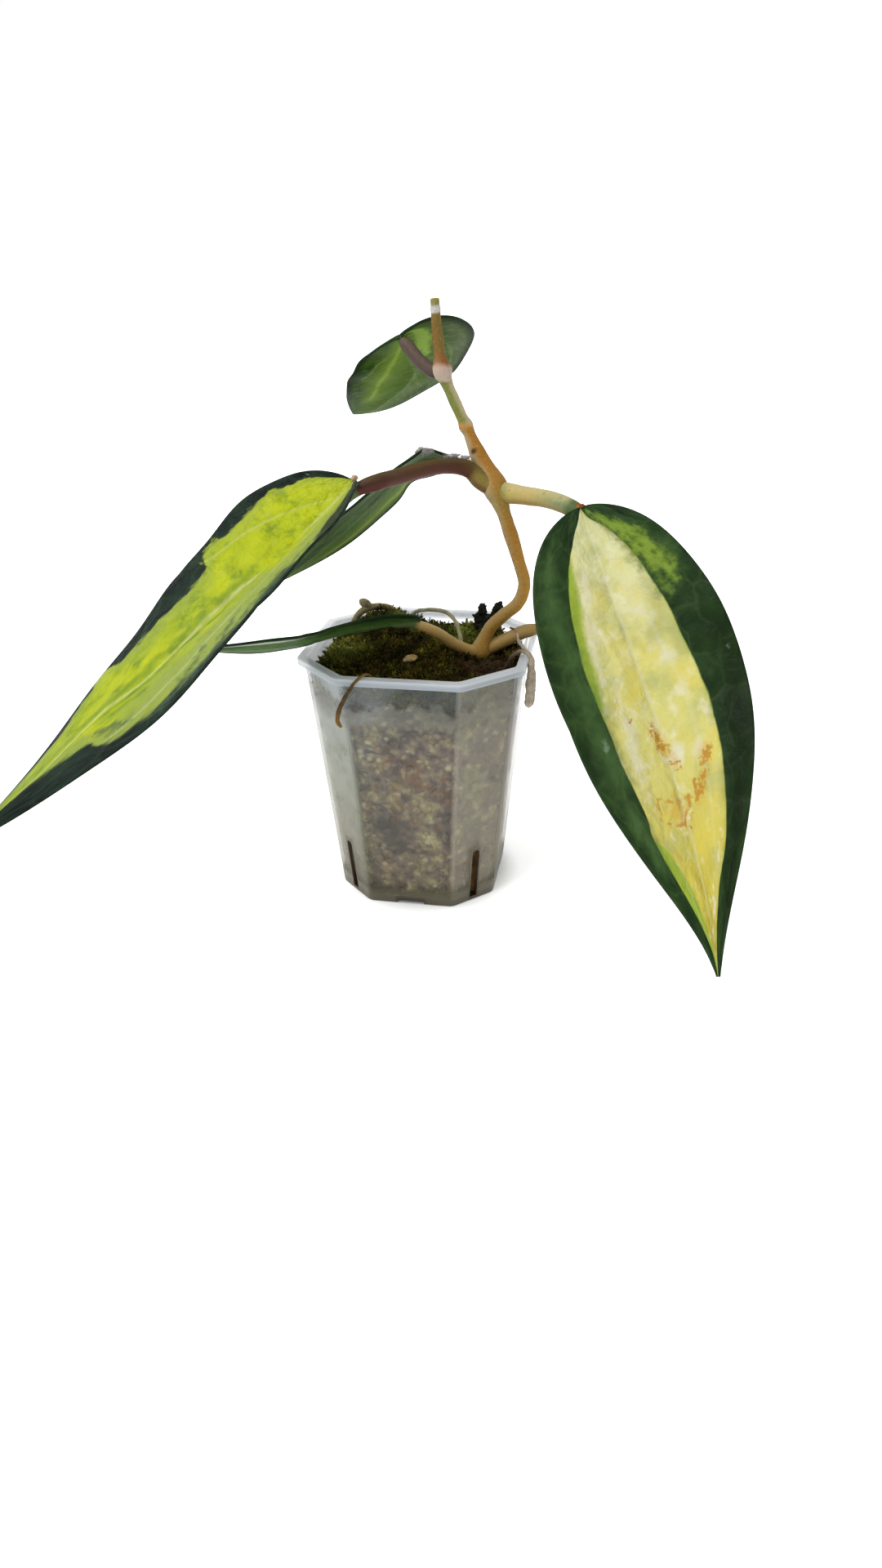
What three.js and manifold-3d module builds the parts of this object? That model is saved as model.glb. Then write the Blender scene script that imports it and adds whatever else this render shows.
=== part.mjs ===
// A young variegated hoya cutting in a small translucent nursery pot.
// Millimetres, +Z up. The origin is the centre of the pot's underside, and the pot's flat sides
// face +X, -X, +Y and -Y. The plant is described as it is seen from the front, from -Y.
import * as THREE from 'three';
import { mergeVertices } from 'three/addons/utils/BufferGeometryUtils.js';
import Module from 'manifold-3d';

const wasm = await Module();
wasm.setup();

// Driving dimensions

const GAP = 0.3; // clearance between pieces that touch
const CUT_PAST = 2; // how far a cutting solid runs past the face that it cuts

const POT = {
  height: 75,
  baseHalf: 23.4, // half the width across flats at the bottom of the wall
  mouthHalf: 30.6, // the same at the top of the wall
  lipHalf: 32.5, // the same round the lip
  lipHeight: 2.7,
  lipRound: 0.4,
  cornerCut: 0.46, // leg of each cut corner, as a share of the half width
  cornerRound: 1.4, // how far each edge's rounding reaches from the corner
  wall: 0.9,
  floor: 2,
  footRound: 0.5,
};

const SLOT = { width: 2, height: 16.5, bottom: 1.4, depth: 8 }; // drain slot in each cut corner
const CHANNEL = { width: 8.2, depth: 1.1, inner: 10 }; // drain channel under each flat side

const MIX_TOP = 63.2;

const MOSS = {
  bottom: MIX_TOP + GAP,
  edge: 71.6, // height near the pot's wall
  edgeDrop: 0.8, // how much lower it lies at the wall itself
  lump: 0.7,
  rings: 10,
  spokes: 36,
};
// Mounds on the moss, and the hollow round the foot of the stem: centre, height and reach.
const MOUNDS = [
  { x: 0, y: -2, height: 1.2, reach: 18 },
  { x: -15, y: 19, height: 5.6, reach: 10 },
  { x: 17, y: 20, height: 2.6, reach: 7 },
  { x: 16.5, y: 6, height: -4.4, reach: 8 },
];

const BLADE = {
  thickness: 1.3, // at the midrib
  margin: 0.7, // at the edge
  tip: 0.5, // half width at the base and at the tip
  thinEnd: 0.55, // share of its thickness where it has no width
  thinSpan: 8, // full width over which it gains its thickness
  ridge: 0.9, // how far the midrib stands out underneath
  stations: 20,
};
// Points across a blade, from edge to edge.
const ACROSS = [-1, -0.72, -0.42, -0.13, 0, 0.13, 0.42, 0.72, 1];
// A petiole runs on under its blade: shares of the blade's length and of the petiole's radius.
const RUN_ON = [[0.02, 1], [0.07, 0.75], [0.13, 0.4]];
const RUN_ON_DEPTH = 0.55; // how deep its middle lies under the midrib, as a share of its radius

const BAR = { sides: 8, step: 3.2, side: [0.3, 1, 0.2] }; // side: where the first ring starts

// The main stem's route, from its buried end to the cut at the top.
const STEM_ROUTE = [
  [16, 8, 36],
  [16, 7, 60],
  [16.5, 7, 70.5],
  [19, 8.4, 77],
  [23, 8, 81.5],
  [27.6, 6.6, 86],
  [29.4, 5.5, 92],
  [28, 4.8, 98],
  [25.9, 4.4, 105],
  [23, 4.8, 113.3],
  [21, 5.8, 118.5],
  [16, 8.8, 126.4],
  [11.6, 11, 135],
  [7, 14.3, 143],
  [4.4, 16.4, 148.4],
  [2.8, 19, 156],
  [1.6, 21.4, 166.4],
];
const STEM_RADIUS = { foot: 2.1, top: 1.25 };
// Swollen places on the stem: leaf joints, a bud ring and the ring under the cut.
const SWELLINGS = [
  { z: 70.5, grow: 1.1, reach: 2.4 },
  { z: 118.5, grow: 1.5, reach: 3.2 },
  { z: 134.6, grow: 0.55, reach: 1.3 },
  { z: 148.4, grow: 1.35, reach: 2.2 },
  { z: 162.2, grow: 0.35, reach: 0.7 },
];
const STEM_STEPS = 60;

const JOINT_LOW = [16.5, 7, 70.5];
const JOINT_MIDDLE = [21, 5.8, 118.5];
const JOINT_TOP = [4.4, 16.4, 148.4];

// Each leaf: its petiole's route, as x, y, z and radius, from the stem to where the blade starts;
// the four control points of its midrib; how far the blade is rolled about the midrib, and how far
// each half is folded up, at its base, middle and tip, in degrees; its half width; where along it
// the blade is widest; how blunt its base and how drawn out its tip are; how far each half curls,
// in degrees; and the height and number of the waves along its edges.
const LEAVES = [
  {
    name: 'leaf_right_upper',
    petiole: [[...JOINT_MIDDLE, 2.6], [25, 4.4, 118, 2.9], [30, 0.4, 118.3, 2.5],
      [36.4, -6.2, 118.9, 2.4], [42, -14, 119, 2.4]],
    spine: [[46, -18.7, 119.6], [54.2, -32.4, 101.8], [81.7, -58.7, 53.3], [86.8, -82.8, 24.6]],
    roll: [-32, -22, -41],
    fold: [16, 16, 16],
    half: 24.5, widest: 0.43, base: 1.4, tip: 1.38, curl: 10, wave: 0.5, waves: 4,
    colour: 0xd9d491,
  },
  {
    name: 'leaf_left_upper',
    petiole: [[...JOINT_MIDDLE, 2.6], [17.2, 5, 120.8, 2.6], [13.6, 4.4, 124, 2.3], [8.9, 0, 125.7, 2.1],
      [3.6, -7.3, 126.2, 2.1], [-1.5, -15.2, 125.8, 2.1], [-6, -22.6, 125.6, 2.1]],
    spine: [[-11, -24.8, 126], [-21.9, -34.9, 113.1], [-43, -67.3, 97.3], [-92.8, -97.1, 52.7]],
    roll: [3.5, -6.3, 13.4],
    fold: [31, 12, -15],
    half: 24.9, widest: 0.46, base: 1.23, tip: 1.09, curl: 0.3, wave: 0.5, waves: 4,
    colour: 0xa9c02f,
  },
  {
    name: 'leaf_back_left',
    petiole: [[...JOINT_MIDDLE, 2.4], [18.6, 8.6, 121, 2.2], [15, 12, 123.4, 1.9]],
    spine: [[11, 14, 124], [-11, 19, 129], [-2, 3, 118], [-49, 7, 87]],
    roll: [-23, -27, -28],
    fold: [1, 1, 1],
    half: 17, widest: 0.43, base: 1.29, tip: 1.1, curl: -13, wave: 0.4, waves: 3,
    colour: 0x4f6b3a,
  },
  {
    name: 'leaf_top',
    petiole: [[...JOINT_TOP, 1.8], [2, 17, 148, 1.9], [-2, 18.4, 150.3, 1.7], [-6.1, 21.4, 154, 1.6]],
    spine: [[-8.7, 23.1, 156.7], [1, 43.9, 150], [-21.3, 54.3, 131.3], [-34, 66, 129]],
    roll: [30, 2, -14],
    fold: [7, 7, 7],
    half: 19.4, widest: 0.43, base: 0.7, tip: 1.11, curl: -2, wave: 0.3, waves: 3,
    colour: 0x5c7d34,
  },
  {
    name: 'leaf_left_lower',
    petiole: [[...JOINT_LOW, 2], [14.6, 5.4, 71.6, 2.3], [9.8, 2, 75, 2.1], [5, -2.2, 79.6, 2]],
    spine: [[1, -6, 84], [-28, -20, 85], [-21, -16, 77], [-57, -34, 82]],
    roll: [-30, -24, -35],
    fold: [4, 4, 4],
    half: 13.5, widest: 0.42, base: 1.05, tip: 1, curl: -7, wave: 0.2, waves: 3,
    colour: 0x46603a,
  },
  {
    name: 'leaf_right_lower',
    petiole: [[...JOINT_LOW, 2], [18.8, 8, 72.2, 2.2], [24, 9.2, 75.4, 2.1], [29.6, 10, 77.6, 2.1]],
    spine: [[33.4, 10.4, 78.6], [46, 12, 74], [63, 8, 52], [74, 6, 26]],
    roll: [-14, -10, -8],
    fold: [8, 8, 8],
    half: 17, widest: 0.42, base: 1.1, tip: 1.2, curl: 4, wave: 0.4, waves: 3,
    colour: 0x2f4a2c,
  },
];

// Aerial roots and scraps on the moss, as routes of x, y, z and radius.
const ROOTS = [
  {
    name: 'root_front',
    route: [[-5.4, -22, 69, 0.7], [-6.2, -26.4, 74, 0.7], [-8, -31.2, 76.4, 0.7],
      [-10.4, -34, 75.6, 0.7], [-12.2, -34.4, 73.4, 0.7], [-14.7, -33.8, 69.6, 0.75],
      [-16.6, -32.8, 65.4, 0.8], [-17.2, -32.2, 62.2, 0.7], [-16.2, -32.2, 60.6, 0.5]],
    colour: 0x7a4426,
  },
  {
    name: 'root_right',
    route: [[25, -5, 68, 0.9], [27.4, -7.6, 74.4, 1], [30.6, -9, 77, 1], [33.6, -9.8, 76, 1],
      [34.2, -10.6, 72.4, 1], [34.3, -11.6, 68, 1.1], [34, -12.6, 61.6, 1]],
    colour: 0xc0ac90,
  },
  {
    name: 'root_back',
    route: [[-25.4, 17, 69.6, 1], [-24.6, 18.6, 74, 1], [-22.6, 20.6, 76.8, 1.1], [-18.4, 22.6, 78, 1.1],
      [-13.6, 23.4, 77, 1], [-9.6, 24, 71.6, 0.9]],
    branch: [[-19.6, 22, 77.4, 1], [-21.6, 21.8, 79, 1.5], [-23.4, 21.6, 80.2, 1.1]],
    colour: 0xb9a68a,
  },
  {
    name: 'root_arch',
    route: [[-9, 21, 71, 0.6], [-6.4, 20.4, 76.8, 0.6], [-2.6, 20, 78.4, 0.6], [4.3, 18, 78.6, 0.6],
      [7.6, 15, 77, 0.6], [9.2, 12, 75.4, 0.6], [10.6, 8.4, 72.6, 0.6], [11.2, 7, 67.6, 0.6]],
    colour: 0xd8d0b0,
  },
];

// A piece of dark bark with three short stubs, and a tan chip, both half sunk in the moss.
const DARK_BARK = {
  size: [9, 5.4, 5],
  centre: [17, 20, 74.4],
  stubs: [[[14.4, 19.4, 74.6, 1.2], [13.8, 19, 78.2, 0.9]], [[15.8, 20.2, 75, 1.3], [15.2, 20.2, 80.4, 1]],
    [[18.8, 20.2, 75, 1.4], [20.2, 20, 81.4, 1.1]]],
  colour: 0x1d1a16,
};
const CHIP = {
  size: [6.4, 3.6, 1.8],
  centre: [-0.6, -6.8, 72.9],
  turn: 0.35, // about the vertical, in radians
  sides: 7,
  taper: 0.84, // width of its lower face, as a share of the upper
  colour: 0xb98d5a,
};

// Materials: colour, roughness and, for the pot, how much it lets through.
const POT_LOOK = { color: 0xb9c0c6, roughness: 0.35, opacity: 0.6, transparent: true };
const MIX_LOOK = { color: 0x6d5c50, roughness: 0.95 };
const MOSS_LOOK = { color: 0x2c2f12, roughness: 1 };
const STEM_LOOK = { color: 0xb98a3e, roughness: 0.7 };
const LEAF_ROUGHNESS = 0.45;
const ROOT_ROUGHNESS = 0.85;
const BARK_ROUGHNESS = 0.95;

// Solids and meshes

function toSolid(geometry) {
  const bare = new THREE.BufferGeometry();
  bare.setAttribute('position', geometry.getAttribute('position'));
  bare.setIndex(geometry.index);
  const merged = mergeVertices(bare, 1e-4);
  return new wasm.Manifold(new wasm.Mesh({
    numProp: 3,
    vertProperties: merged.attributes.position.array,
    triVerts: new Uint32Array(merged.index.array),
  }));
}

function toMesh(name, solid, look) {
  const { vertProperties, triVerts } = solid.getMesh();
  const geometry = new THREE.BufferGeometry();
  geometry.setAttribute('position', new THREE.BufferAttribute(vertProperties, 3));
  geometry.setIndex(new THREE.BufferAttribute(triVerts, 1));
  geometry.computeVertexNormals();
  const mesh = new THREE.Mesh(geometry, new THREE.MeshStandardMaterial({ metalness: 0, ...look }));
  mesh.name = name;
  return mesh;
}

// A closed surface through a row of rings with equal numbers of points. Past `turn`, each quad is
// split along its other diagonal, so that the two faces of a thin blade are split alike.
function skin(rings, turn = Infinity) {
  const count = rings[0].length;
  const positions = rings.flat(2);
  const index = [];
  for (let row = 0; row < rings.length - 1; row++) {
    for (let i = 0; i < count; i++) {
      const a = row * count + i;
      const b = row * count + (i + 1) % count;
      const c = a + count;
      const d = b + count;
      if (i < turn) index.push(a, b, d, a, d, c);
      else index.push(a, b, c, b, d, c);
    }
  }
  for (const [row, first] of [[0, true], [rings.length - 1, false]]) {
    const centre = positions.length / 3;
    for (let axis = 0; axis < 3; axis++) {
      positions.push(rings[row].reduce((sum, point) => sum + point[axis], 0) / count);
    }
    for (let i = 0; i < count; i++) {
      const a = row * count + i;
      const b = row * count + (i + 1) % count;
      if (first) index.push(centre, b, a);
      else index.push(centre, a, b);
    }
  }
  const geometry = new THREE.BufferGeometry();
  geometry.setAttribute('position', new THREE.Float32BufferAttribute(positions, 3));
  geometry.setIndex(index);
  return toSolid(geometry);
}

const smooth = (x) => THREE.MathUtils.smoothstep(x, 0, 1);

// A round bar along a route of x, y, z and radius.
function bar(route, grow = 0) {
  const curve = new THREE.CatmullRomCurve3(route.map(([x, y, z]) => new THREE.Vector3(x, y, z)));
  const spans = route.length - 1;
  const steps = Math.max(spans * 2, Math.ceil(curve.getLength() / BAR.step));
  const radiusAt = (t) => {
    const span = Math.min(Math.floor(t * spans), spans - 1);
    return THREE.MathUtils.lerp(route[span][3], route[span + 1][3], smooth(t * spans - span)) + grow;
  };
  return sweep(curve, steps, radiusAt);
}

// Rings of a round section, square to the curve and without twist.
function sweep(curve, steps, radiusAt) {
  const side = new THREE.Vector3(...BAR.side);
  const rings = [];
  for (let i = 0; i <= steps; i++) {
    const t = i / steps;
    const centre = curve.getPoint(t);
    const along = curve.getTangent(t);
    side.addScaledVector(along, -side.dot(along)).normalize();
    const up = new THREE.Vector3().crossVectors(along, side);
    const ring = [];
    const radius = radiusAt(t, centre);
    for (let k = 0; k < BAR.sides; k++) {
      const angle = (2 * Math.PI * k) / BAR.sides;
      ring.push(centre.clone()
        .addScaledVector(side, radius * Math.cos(angle))
        .addScaledVector(up, radius * Math.sin(angle))
        .toArray());
    }
    rings.push(ring);
  }
  return skin(rings);
}

// Pot

// A square with its corners cut off and each edge rounded, at one height, anticlockwise from above.
function octagon(half, z) {
  const leg = half * POT.cornerCut;
  const flat = half - leg;
  const corners = [
    [half, -flat], [half, flat], [flat, half], [-flat, half],
    [-half, flat], [-half, -flat], [-flat, -half], [flat, -half],
  ].map(([x, y]) => new THREE.Vector2(x, y));
  const ring = [];
  corners.forEach((corner, i) => {
    const before = corners.at(i - 1).clone().sub(corner).setLength(POT.cornerRound);
    const after = corners[(i + 1) % corners.length].clone().sub(corner).setLength(POT.cornerRound);
    const middle = before.clone().add(after).divideScalar(4); // the middle of a quadratic curve
    for (const step of [before, middle, after]) ring.push([corner.x + step.x, corner.y + step.y, z]);
  });
  return ring;
}

const wallTop = POT.height - POT.lipHeight;
const wallHalf = (z) => THREE.MathUtils.mapLinear(z, 0, wallTop, POT.baseHalf, POT.mouthHalf);
const insideHalf = (z) => wallHalf(z) - POT.wall;

function makePot() {
  const { footRound, lipHalf, lipRound } = POT;
  const above = POT.height + CUT_PAST;
  const foot = [0, 45, 90].map((degrees) => {
    const angle = THREE.MathUtils.degToRad(degrees);
    const z = footRound * (1 - Math.cos(angle));
    return octagon(wallHalf(z) - footRound * (1 - Math.sin(angle)), z);
  });
  const outside = skin([
    ...foot,
    octagon(wallHalf(wallTop - lipRound), wallTop - lipRound),
    octagon(lipHalf - lipRound, wallTop),
    octagon(lipHalf, wallTop + lipRound),
    octagon(lipHalf, POT.height - lipRound),
    octagon(lipHalf - lipRound, POT.height),
  ]);
  const inside = skin([octagon(insideHalf(POT.floor), POT.floor), octagon(insideHalf(above), above)]);
  let pot = outside.subtract(inside);
  for (let side = 0; side < 4; side++) {
    pot = pot.subtract(makeChannel(side)).subtract(makeSlot(side));
  }
  return pot;
}

function makeChannel(side) {
  const length = POT.baseHalf + CUT_PAST - CHANNEL.inner;
  const box = new THREE.BoxGeometry(length, CHANNEL.width, CHANNEL.depth * 2);
  box.translate(CHANNEL.inner + length / 2, 0, 0);
  box.rotateZ((side * Math.PI) / 2);
  return toSolid(box);
}

function makeSlot(side) {
  const reach = (POT.baseHalf * (2 - POT.cornerCut)) / Math.SQRT2; // from the axis to a cut corner's face
  const shape = new THREE.Shape();
  const radius = SLOT.width / 2;
  shape.absarc(0, SLOT.height - radius, radius, 0, Math.PI);
  shape.lineTo(-radius, 0);
  shape.lineTo(radius, 0);
  const slot = new THREE.ExtrudeGeometry(shape, {
    depth: SLOT.depth,
    bevelEnabled: false,
    curveSegments: 6,
  });
  slot.rotateX(Math.PI / 2);
  slot.translate(0, reach + SLOT.depth / 2, SLOT.bottom);
  slot.rotateZ(-Math.PI / 4 + (side * Math.PI) / 2);
  return toSolid(slot);
}

// Mix and moss

function makeMix() {
  const bottom = POT.floor + GAP;
  return skin([octagon(insideHalf(bottom) - GAP, bottom), octagon(insideHalf(MIX_TOP) - GAP, MIX_TOP)]);
}

// Low lumps, from about -2 to 2, a few millimetres apart.
function lumps(x, y) {
  return Math.sin(x * 0.9 + 0.5) * Math.cos(y * 0.8) + 0.7 * Math.sin(x * 0.45 - y * 0.62 + 2)
    + 0.5 * Math.sin(x * 1.3 + y * 1.1);
}

function mossHeight(x, y) {
  const mounds = MOUNDS.reduce((sum, mound) => (
    sum + mound.height * Math.exp(-((x - mound.x) ** 2 + (y - mound.y) ** 2) / mound.reach ** 2)), 0);
  return MOSS.edge + mounds + MOSS.lump * lumps(x, y);
}

// The moss fills the pot's mouth: a ring at its flat underside, then rings that close in over its top.
function makeMoss() {
  const rim = (z) => {
    const outline = octagon(insideHalf(z) - GAP, z);
    const path = new THREE.CurvePath();
    outline.forEach(([x, y], i) => {
      const [nextX, nextY] = outline[(i + 1) % outline.length];
      path.add(new THREE.LineCurve(new THREE.Vector2(x, y), new THREE.Vector2(nextX, nextY)));
    });
    return path.getSpacedPoints(MOSS.spokes).slice(0, MOSS.spokes);
  };
  const wide = rim(MOSS.edge);
  const rings = [rim(MOSS.bottom).map((point) => [point.x, point.y, MOSS.bottom])];
  for (let ring = 0; ring < MOSS.rings; ring++) {
    const share = 1 - ring / MOSS.rings;
    rings.push(wide.map(({ x, y }) => [
      x * share, y * share, ring === 0 ? MOSS.edge - MOSS.edgeDrop : mossHeight(x * share, y * share),
    ]));
  }
  return skin(rings);
}

function makeRoot(root, grow = 0) {
  const main = bar(root.route, grow);
  return root.branch ? main.add(bar(root.branch, grow)) : main;
}

function makeDarkBark(grow = 0) {
  const [x, y, z] = DARK_BARK.size;
  const block = new THREE.IcosahedronGeometry(1, 1);
  block.scale(x / 2 + grow, y / 2 + grow, z / 2 + grow);
  block.translate(...DARK_BARK.centre);
  return DARK_BARK.stubs.reduce((solid, stub) => solid.add(bar(stub, grow)), toSolid(block));
}

function makeChip(grow = 0) {
  const [x, y, z] = CHIP.size;
  const chip = new THREE.CylinderGeometry(0.5, CHIP.taper / 2, 1, CHIP.sides);
  chip.rotateX(Math.PI / 2);
  chip.scale(x + 2 * grow, y + 2 * grow, z + 2 * grow);
  chip.rotateZ(CHIP.turn);
  chip.translate(...CHIP.centre);
  return toSolid(chip);
}

// Stem and leaves

function makeStem(grow = 0) {
  const curve = new THREE.CatmullRomCurve3(STEM_ROUTE.map((point) => new THREE.Vector3(...point)));
  const radiusAt = (t, centre) => {
    const plain = THREE.MathUtils.lerp(STEM_RADIUS.foot, STEM_RADIUS.top, t);
    const swell = SWELLINGS.reduce((sum, { z, grow: extra, reach }) => (
      sum + extra * Math.exp(-(((centre.z - z) / reach) ** 2))), 0);
    return plain + swell + grow;
  };
  return sweep(curve, STEM_STEPS, radiusAt);
}

// Half width at a share of the blade's length, from 0 at its base to 1 at its tip.
function halfWidth(leaf, v) {
  const share = v < leaf.widest
    ? Math.sqrt(1 - ((leaf.widest - v) / leaf.widest) ** 2) ** leaf.base
    : Math.cos((Math.PI / 2) * (v - leaf.widest) / (1 - leaf.widest)) ** leaf.tip;
  return BLADE.tip + (leaf.half - BLADE.tip) * share;
}

// An angle between its values at the base, middle and tip, in degrees, given in radians.
function angleAt([base, middle, tip], v) {
  const degrees = v < 0.5
    ? THREE.MathUtils.lerp(base, middle, v * 2)
    : THREE.MathUtils.lerp(middle, tip, v * 2 - 1);
  return THREE.MathUtils.degToRad(degrees);
}

// The midrib's point at v, with the directions along it, across the blade and out of its upper face.
function bladeFrame(leaf, v) {
  const midrib = new THREE.CubicBezierCurve3(...leaf.spine.map((point) => new THREE.Vector3(...point)));
  const along = midrib.getTangent(v);
  const level = new THREE.Vector3().crossVectors(along, new THREE.Vector3(0, 0, 1)).normalize();
  const across = level.clone().applyAxisAngle(along, -angleAt(leaf.roll, v));
  const out = new THREE.Vector3().crossVectors(across, along);
  return { point: midrib.getPoint(v), along, across, out };
}

function makeBlade(leaf) {
  const rings = [];
  for (let i = 0; i <= BLADE.stations; i++) {
    const v = (1 - Math.cos((Math.PI * i) / BLADE.stations)) / 2; // closer together at both ends
    const { point, across, out } = bladeFrame(leaf, v);
    const half = halfWidth(leaf, v);
    const fullness = Math.min(1, BLADE.thinEnd + half / BLADE.thinSpan);
    const face = (side) => ACROSS.map((u) => {
      const reach = Math.abs(u) * half;
      const lift = angleAt(leaf.fold, v) + THREE.MathUtils.degToRad((leaf.curl * Math.abs(u)) / 2);
      const swing = Math.sin(2 * Math.PI * leaf.waves * v + Math.sign(u));
      const wave = leaf.wave * u ** 2 * Math.sin(Math.PI * v) * swing;
      const thick = THREE.MathUtils.lerp(BLADE.thickness, BLADE.margin, u ** 2) * fullness;
      const ridge = side < 0 && u === 0 ? BLADE.ridge * (1 - v) : 0;
      return point.clone()
        .addScaledVector(across, Math.sign(u) * reach * Math.cos(lift))
        .addScaledVector(out, reach * Math.sin(lift) + wave + (side * thick) / 2 - ridge)
        .toArray();
    });
    rings.push([...face(1), ...face(-1).reverse()]);
  }
  return skin(rings, ACROSS.length - 1);
}

// The petiole runs on under the blade, thinner and thinner, as the first part of its midrib.
function makePetiole(leaf, grow = 0) {
  const under = RUN_ON.map(([v, share]) => {
    const { point, out } = bladeFrame(leaf, v);
    const radius = leaf.petiole.at(-1)[3] * share;
    point.addScaledVector(out, -radius * RUN_ON_DEPTH);
    return [...point.toArray(), radius];
  });
  return bar([...leaf.petiole, ...under], grow);
}

// A leaf stands clear of the stem and of the petioles listed before its own.
function makeLeaf(leaf, stemClearance) {
  const earlier = LEAVES.slice(0, LEAVES.indexOf(leaf)).map((other) => makePetiole(other, GAP));
  const whole = makeBlade(leaf).add(makePetiole(leaf));
  return [stemClearance, ...earlier].reduce((solid, clearance) => solid.subtract(clearance), whole);
}

// Assembly

const stem = makeStem();
const stemClearance = makeStem(GAP);
const clearances = [
  stemClearance,
  ...LEAVES.map((leaf) => makePetiole(leaf, GAP)),
  ...ROOTS.map((root) => makeRoot(root, GAP)),
  makeDarkBark(GAP),
  makeChip(GAP),
];
const moss = clearances.reduce((solid, clearance) => solid.subtract(clearance), makeMoss());

const plant = new THREE.Group();
plant.add(toMesh('pot', makePot(), POT_LOOK));
plant.add(toMesh('potting_mix', makeMix().subtract(stemClearance), MIX_LOOK));
plant.add(toMesh('moss', moss, MOSS_LOOK));
plant.add(toMesh('stem', stem, STEM_LOOK));
for (const leaf of LEAVES) {
  const look = { color: leaf.colour, roughness: LEAF_ROUGHNESS };
  plant.add(toMesh(leaf.name, makeLeaf(leaf, stemClearance), look));
}
for (const root of ROOTS) {
  plant.add(toMesh(root.name, makeRoot(root), { color: root.colour, roughness: ROOT_ROUGHNESS }));
}
plant.add(toMesh('bark_dark', makeDarkBark(), { color: DARK_BARK.colour, roughness: BARK_ROUGHNESS }));
plant.add(toMesh('bark_chip', makeChip(), { color: CHIP.colour, roughness: BARK_ROUGHNESS }));

export default plant;
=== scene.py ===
import math

import bmesh
import bpy
from mathutils import Matrix, Vector, noise


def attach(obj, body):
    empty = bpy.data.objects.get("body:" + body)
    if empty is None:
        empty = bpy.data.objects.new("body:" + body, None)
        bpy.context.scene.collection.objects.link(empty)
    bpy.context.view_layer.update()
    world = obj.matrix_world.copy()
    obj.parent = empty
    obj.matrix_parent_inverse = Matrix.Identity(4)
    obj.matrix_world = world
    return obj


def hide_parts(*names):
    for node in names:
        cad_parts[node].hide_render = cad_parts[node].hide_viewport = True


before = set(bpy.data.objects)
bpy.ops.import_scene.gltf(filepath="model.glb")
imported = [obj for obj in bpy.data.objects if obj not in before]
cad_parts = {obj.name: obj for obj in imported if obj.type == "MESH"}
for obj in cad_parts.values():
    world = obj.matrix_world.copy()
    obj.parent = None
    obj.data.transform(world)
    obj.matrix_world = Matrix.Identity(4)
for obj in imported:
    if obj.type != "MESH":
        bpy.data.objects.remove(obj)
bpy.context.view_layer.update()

bl_info = {
    "name": "Potted variegated hoya",
    "version": (1, 0, 0),
    "blender": (4, 5, 0),
    "location": "3D Viewport > Sidebar > Hoya",
    "description": "Builds a young variegated hoya in a milky nursery pot around its solid frame",
    "category": "Add Mesh",
}

BODY = "root"
MM = 0.001

# The pot, in millimetres, as the solid frame has it but for slots half a millimetre wider.
CORNER_CUT = 0.46  # leg of each cut corner, as a share of the half width
CORNER_ROUND = 1.4  # how far each edge's rounding reaches from the corner
CORNER_STEPS = 5
FLOOR_THICK = 2.0
FOOT_ROUND = 0.5
LIP_ROUND = 0.4
LIP_INSIDE = [(0.25, 0), (0.08, 0.1)]  # the lip's rounded inner edge: how far out and how far down
WALL_LEVELS = (20, 40, 60)
SHARP_ANGLE = 35
SLOT_TOP_STEPS = 12
SLOT = {"width": 2.5, "height": 16.5, "bottom": 1.4, "depth": 8.0}
CHANNEL = {"width": 8.2, "depth": 1.1, "inner": 10.0}

# The mix and the moss.
MIX_BOTTOM = 2.3
MIX_TOP = 63.2
MOSS_BOTTOM = 63.5
MOSS_EDGE = 71.6
MOSS_LUMP = 0.7
MIX_SPACING = 1.6
MIX_LUMP = 3.5
MIX_RELIEF = 0.8
MIX_GAP = 0.5  # between the body of the mix and the wall
CHIP_GAP = 0.25  # between the chips and the wall
FILLING_STEPS = 20
MOSS_SPACING = 1.7
MOSS_RINGS = 26
# Mounds on the moss, and the hollow round the foot of the stem: x, y, height and reach.
MOUNDS = [(0, -2, 1.2, 18), (-15, 19, 5.6, 10), (17, 20, 2.6, 7), (16.5, 6, -4.4, 8)]

# The main stem's route, from its buried end to the cut at the top, and its swollen places.
STEM_ROUTE = [
    (16, 8, 36), (16, 7, 60), (16.5, 7, 70.5), (19, 8.4, 77), (23, 8, 81.5), (27.6, 6.6, 86),
    (29.4, 5.5, 92), (28, 4.8, 98), (25.9, 4.4, 105), (23, 4.8, 113.3), (21, 5.8, 118.5),
    (16, 8.8, 126.4), (11.6, 11, 135), (7, 14.3, 143), (4.4, 16.4, 148.4), (2.8, 19, 156),
    (1.6, 21.4, 166.4),
]
STEM_FOOT = 2.1
STEM_TOP = 1.25
# Height, growth of the radius and reach along the height.
SWELLINGS = [
    (70.5, 1.1, 2.4), (107, 0.35, 6), (118.8, 1.9, 4.2), (126, 0.85, 5), (134.6, 0.5, 1.3),
    (141.5, 0.2, 5), (148.4, 1.35, 2.3), (156, 0.28, 6), (163.8, 0.2, 0.6),
]
JOINT_LOW = (16.5, 7, 70.5)
JOINT_MIDDLE = (21, 5.8, 118.5)
JOINT_TOP = (4.4, 16.4, 148.4)

# A petiole runs on under its blade: shares of the blade's length and of the petiole's radius.
RUN_ON = [(0.02, 0.8), (0.07, 0.6), (0.14, 0.3)]
BLADE_TIP = 0.5  # half width at the base and at the tip
THIN_END = 0.55  # the thickness at the narrow ends, as a share, and the half width where it is full
THIN_SPAN = 8.0
GROOVE = (0.28, 0.9)  # depth and width of the groove over the midrib
RIDGE = (0.9, 1.3)  # height and width of the midrib's ridge on the underside
CUSHIONS = [(6.5, 9, 0, 1), (3.2, 4.5, 5, 0.5)]  # width and length, seed and share of each size
STEM_STEPS = 260

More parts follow.
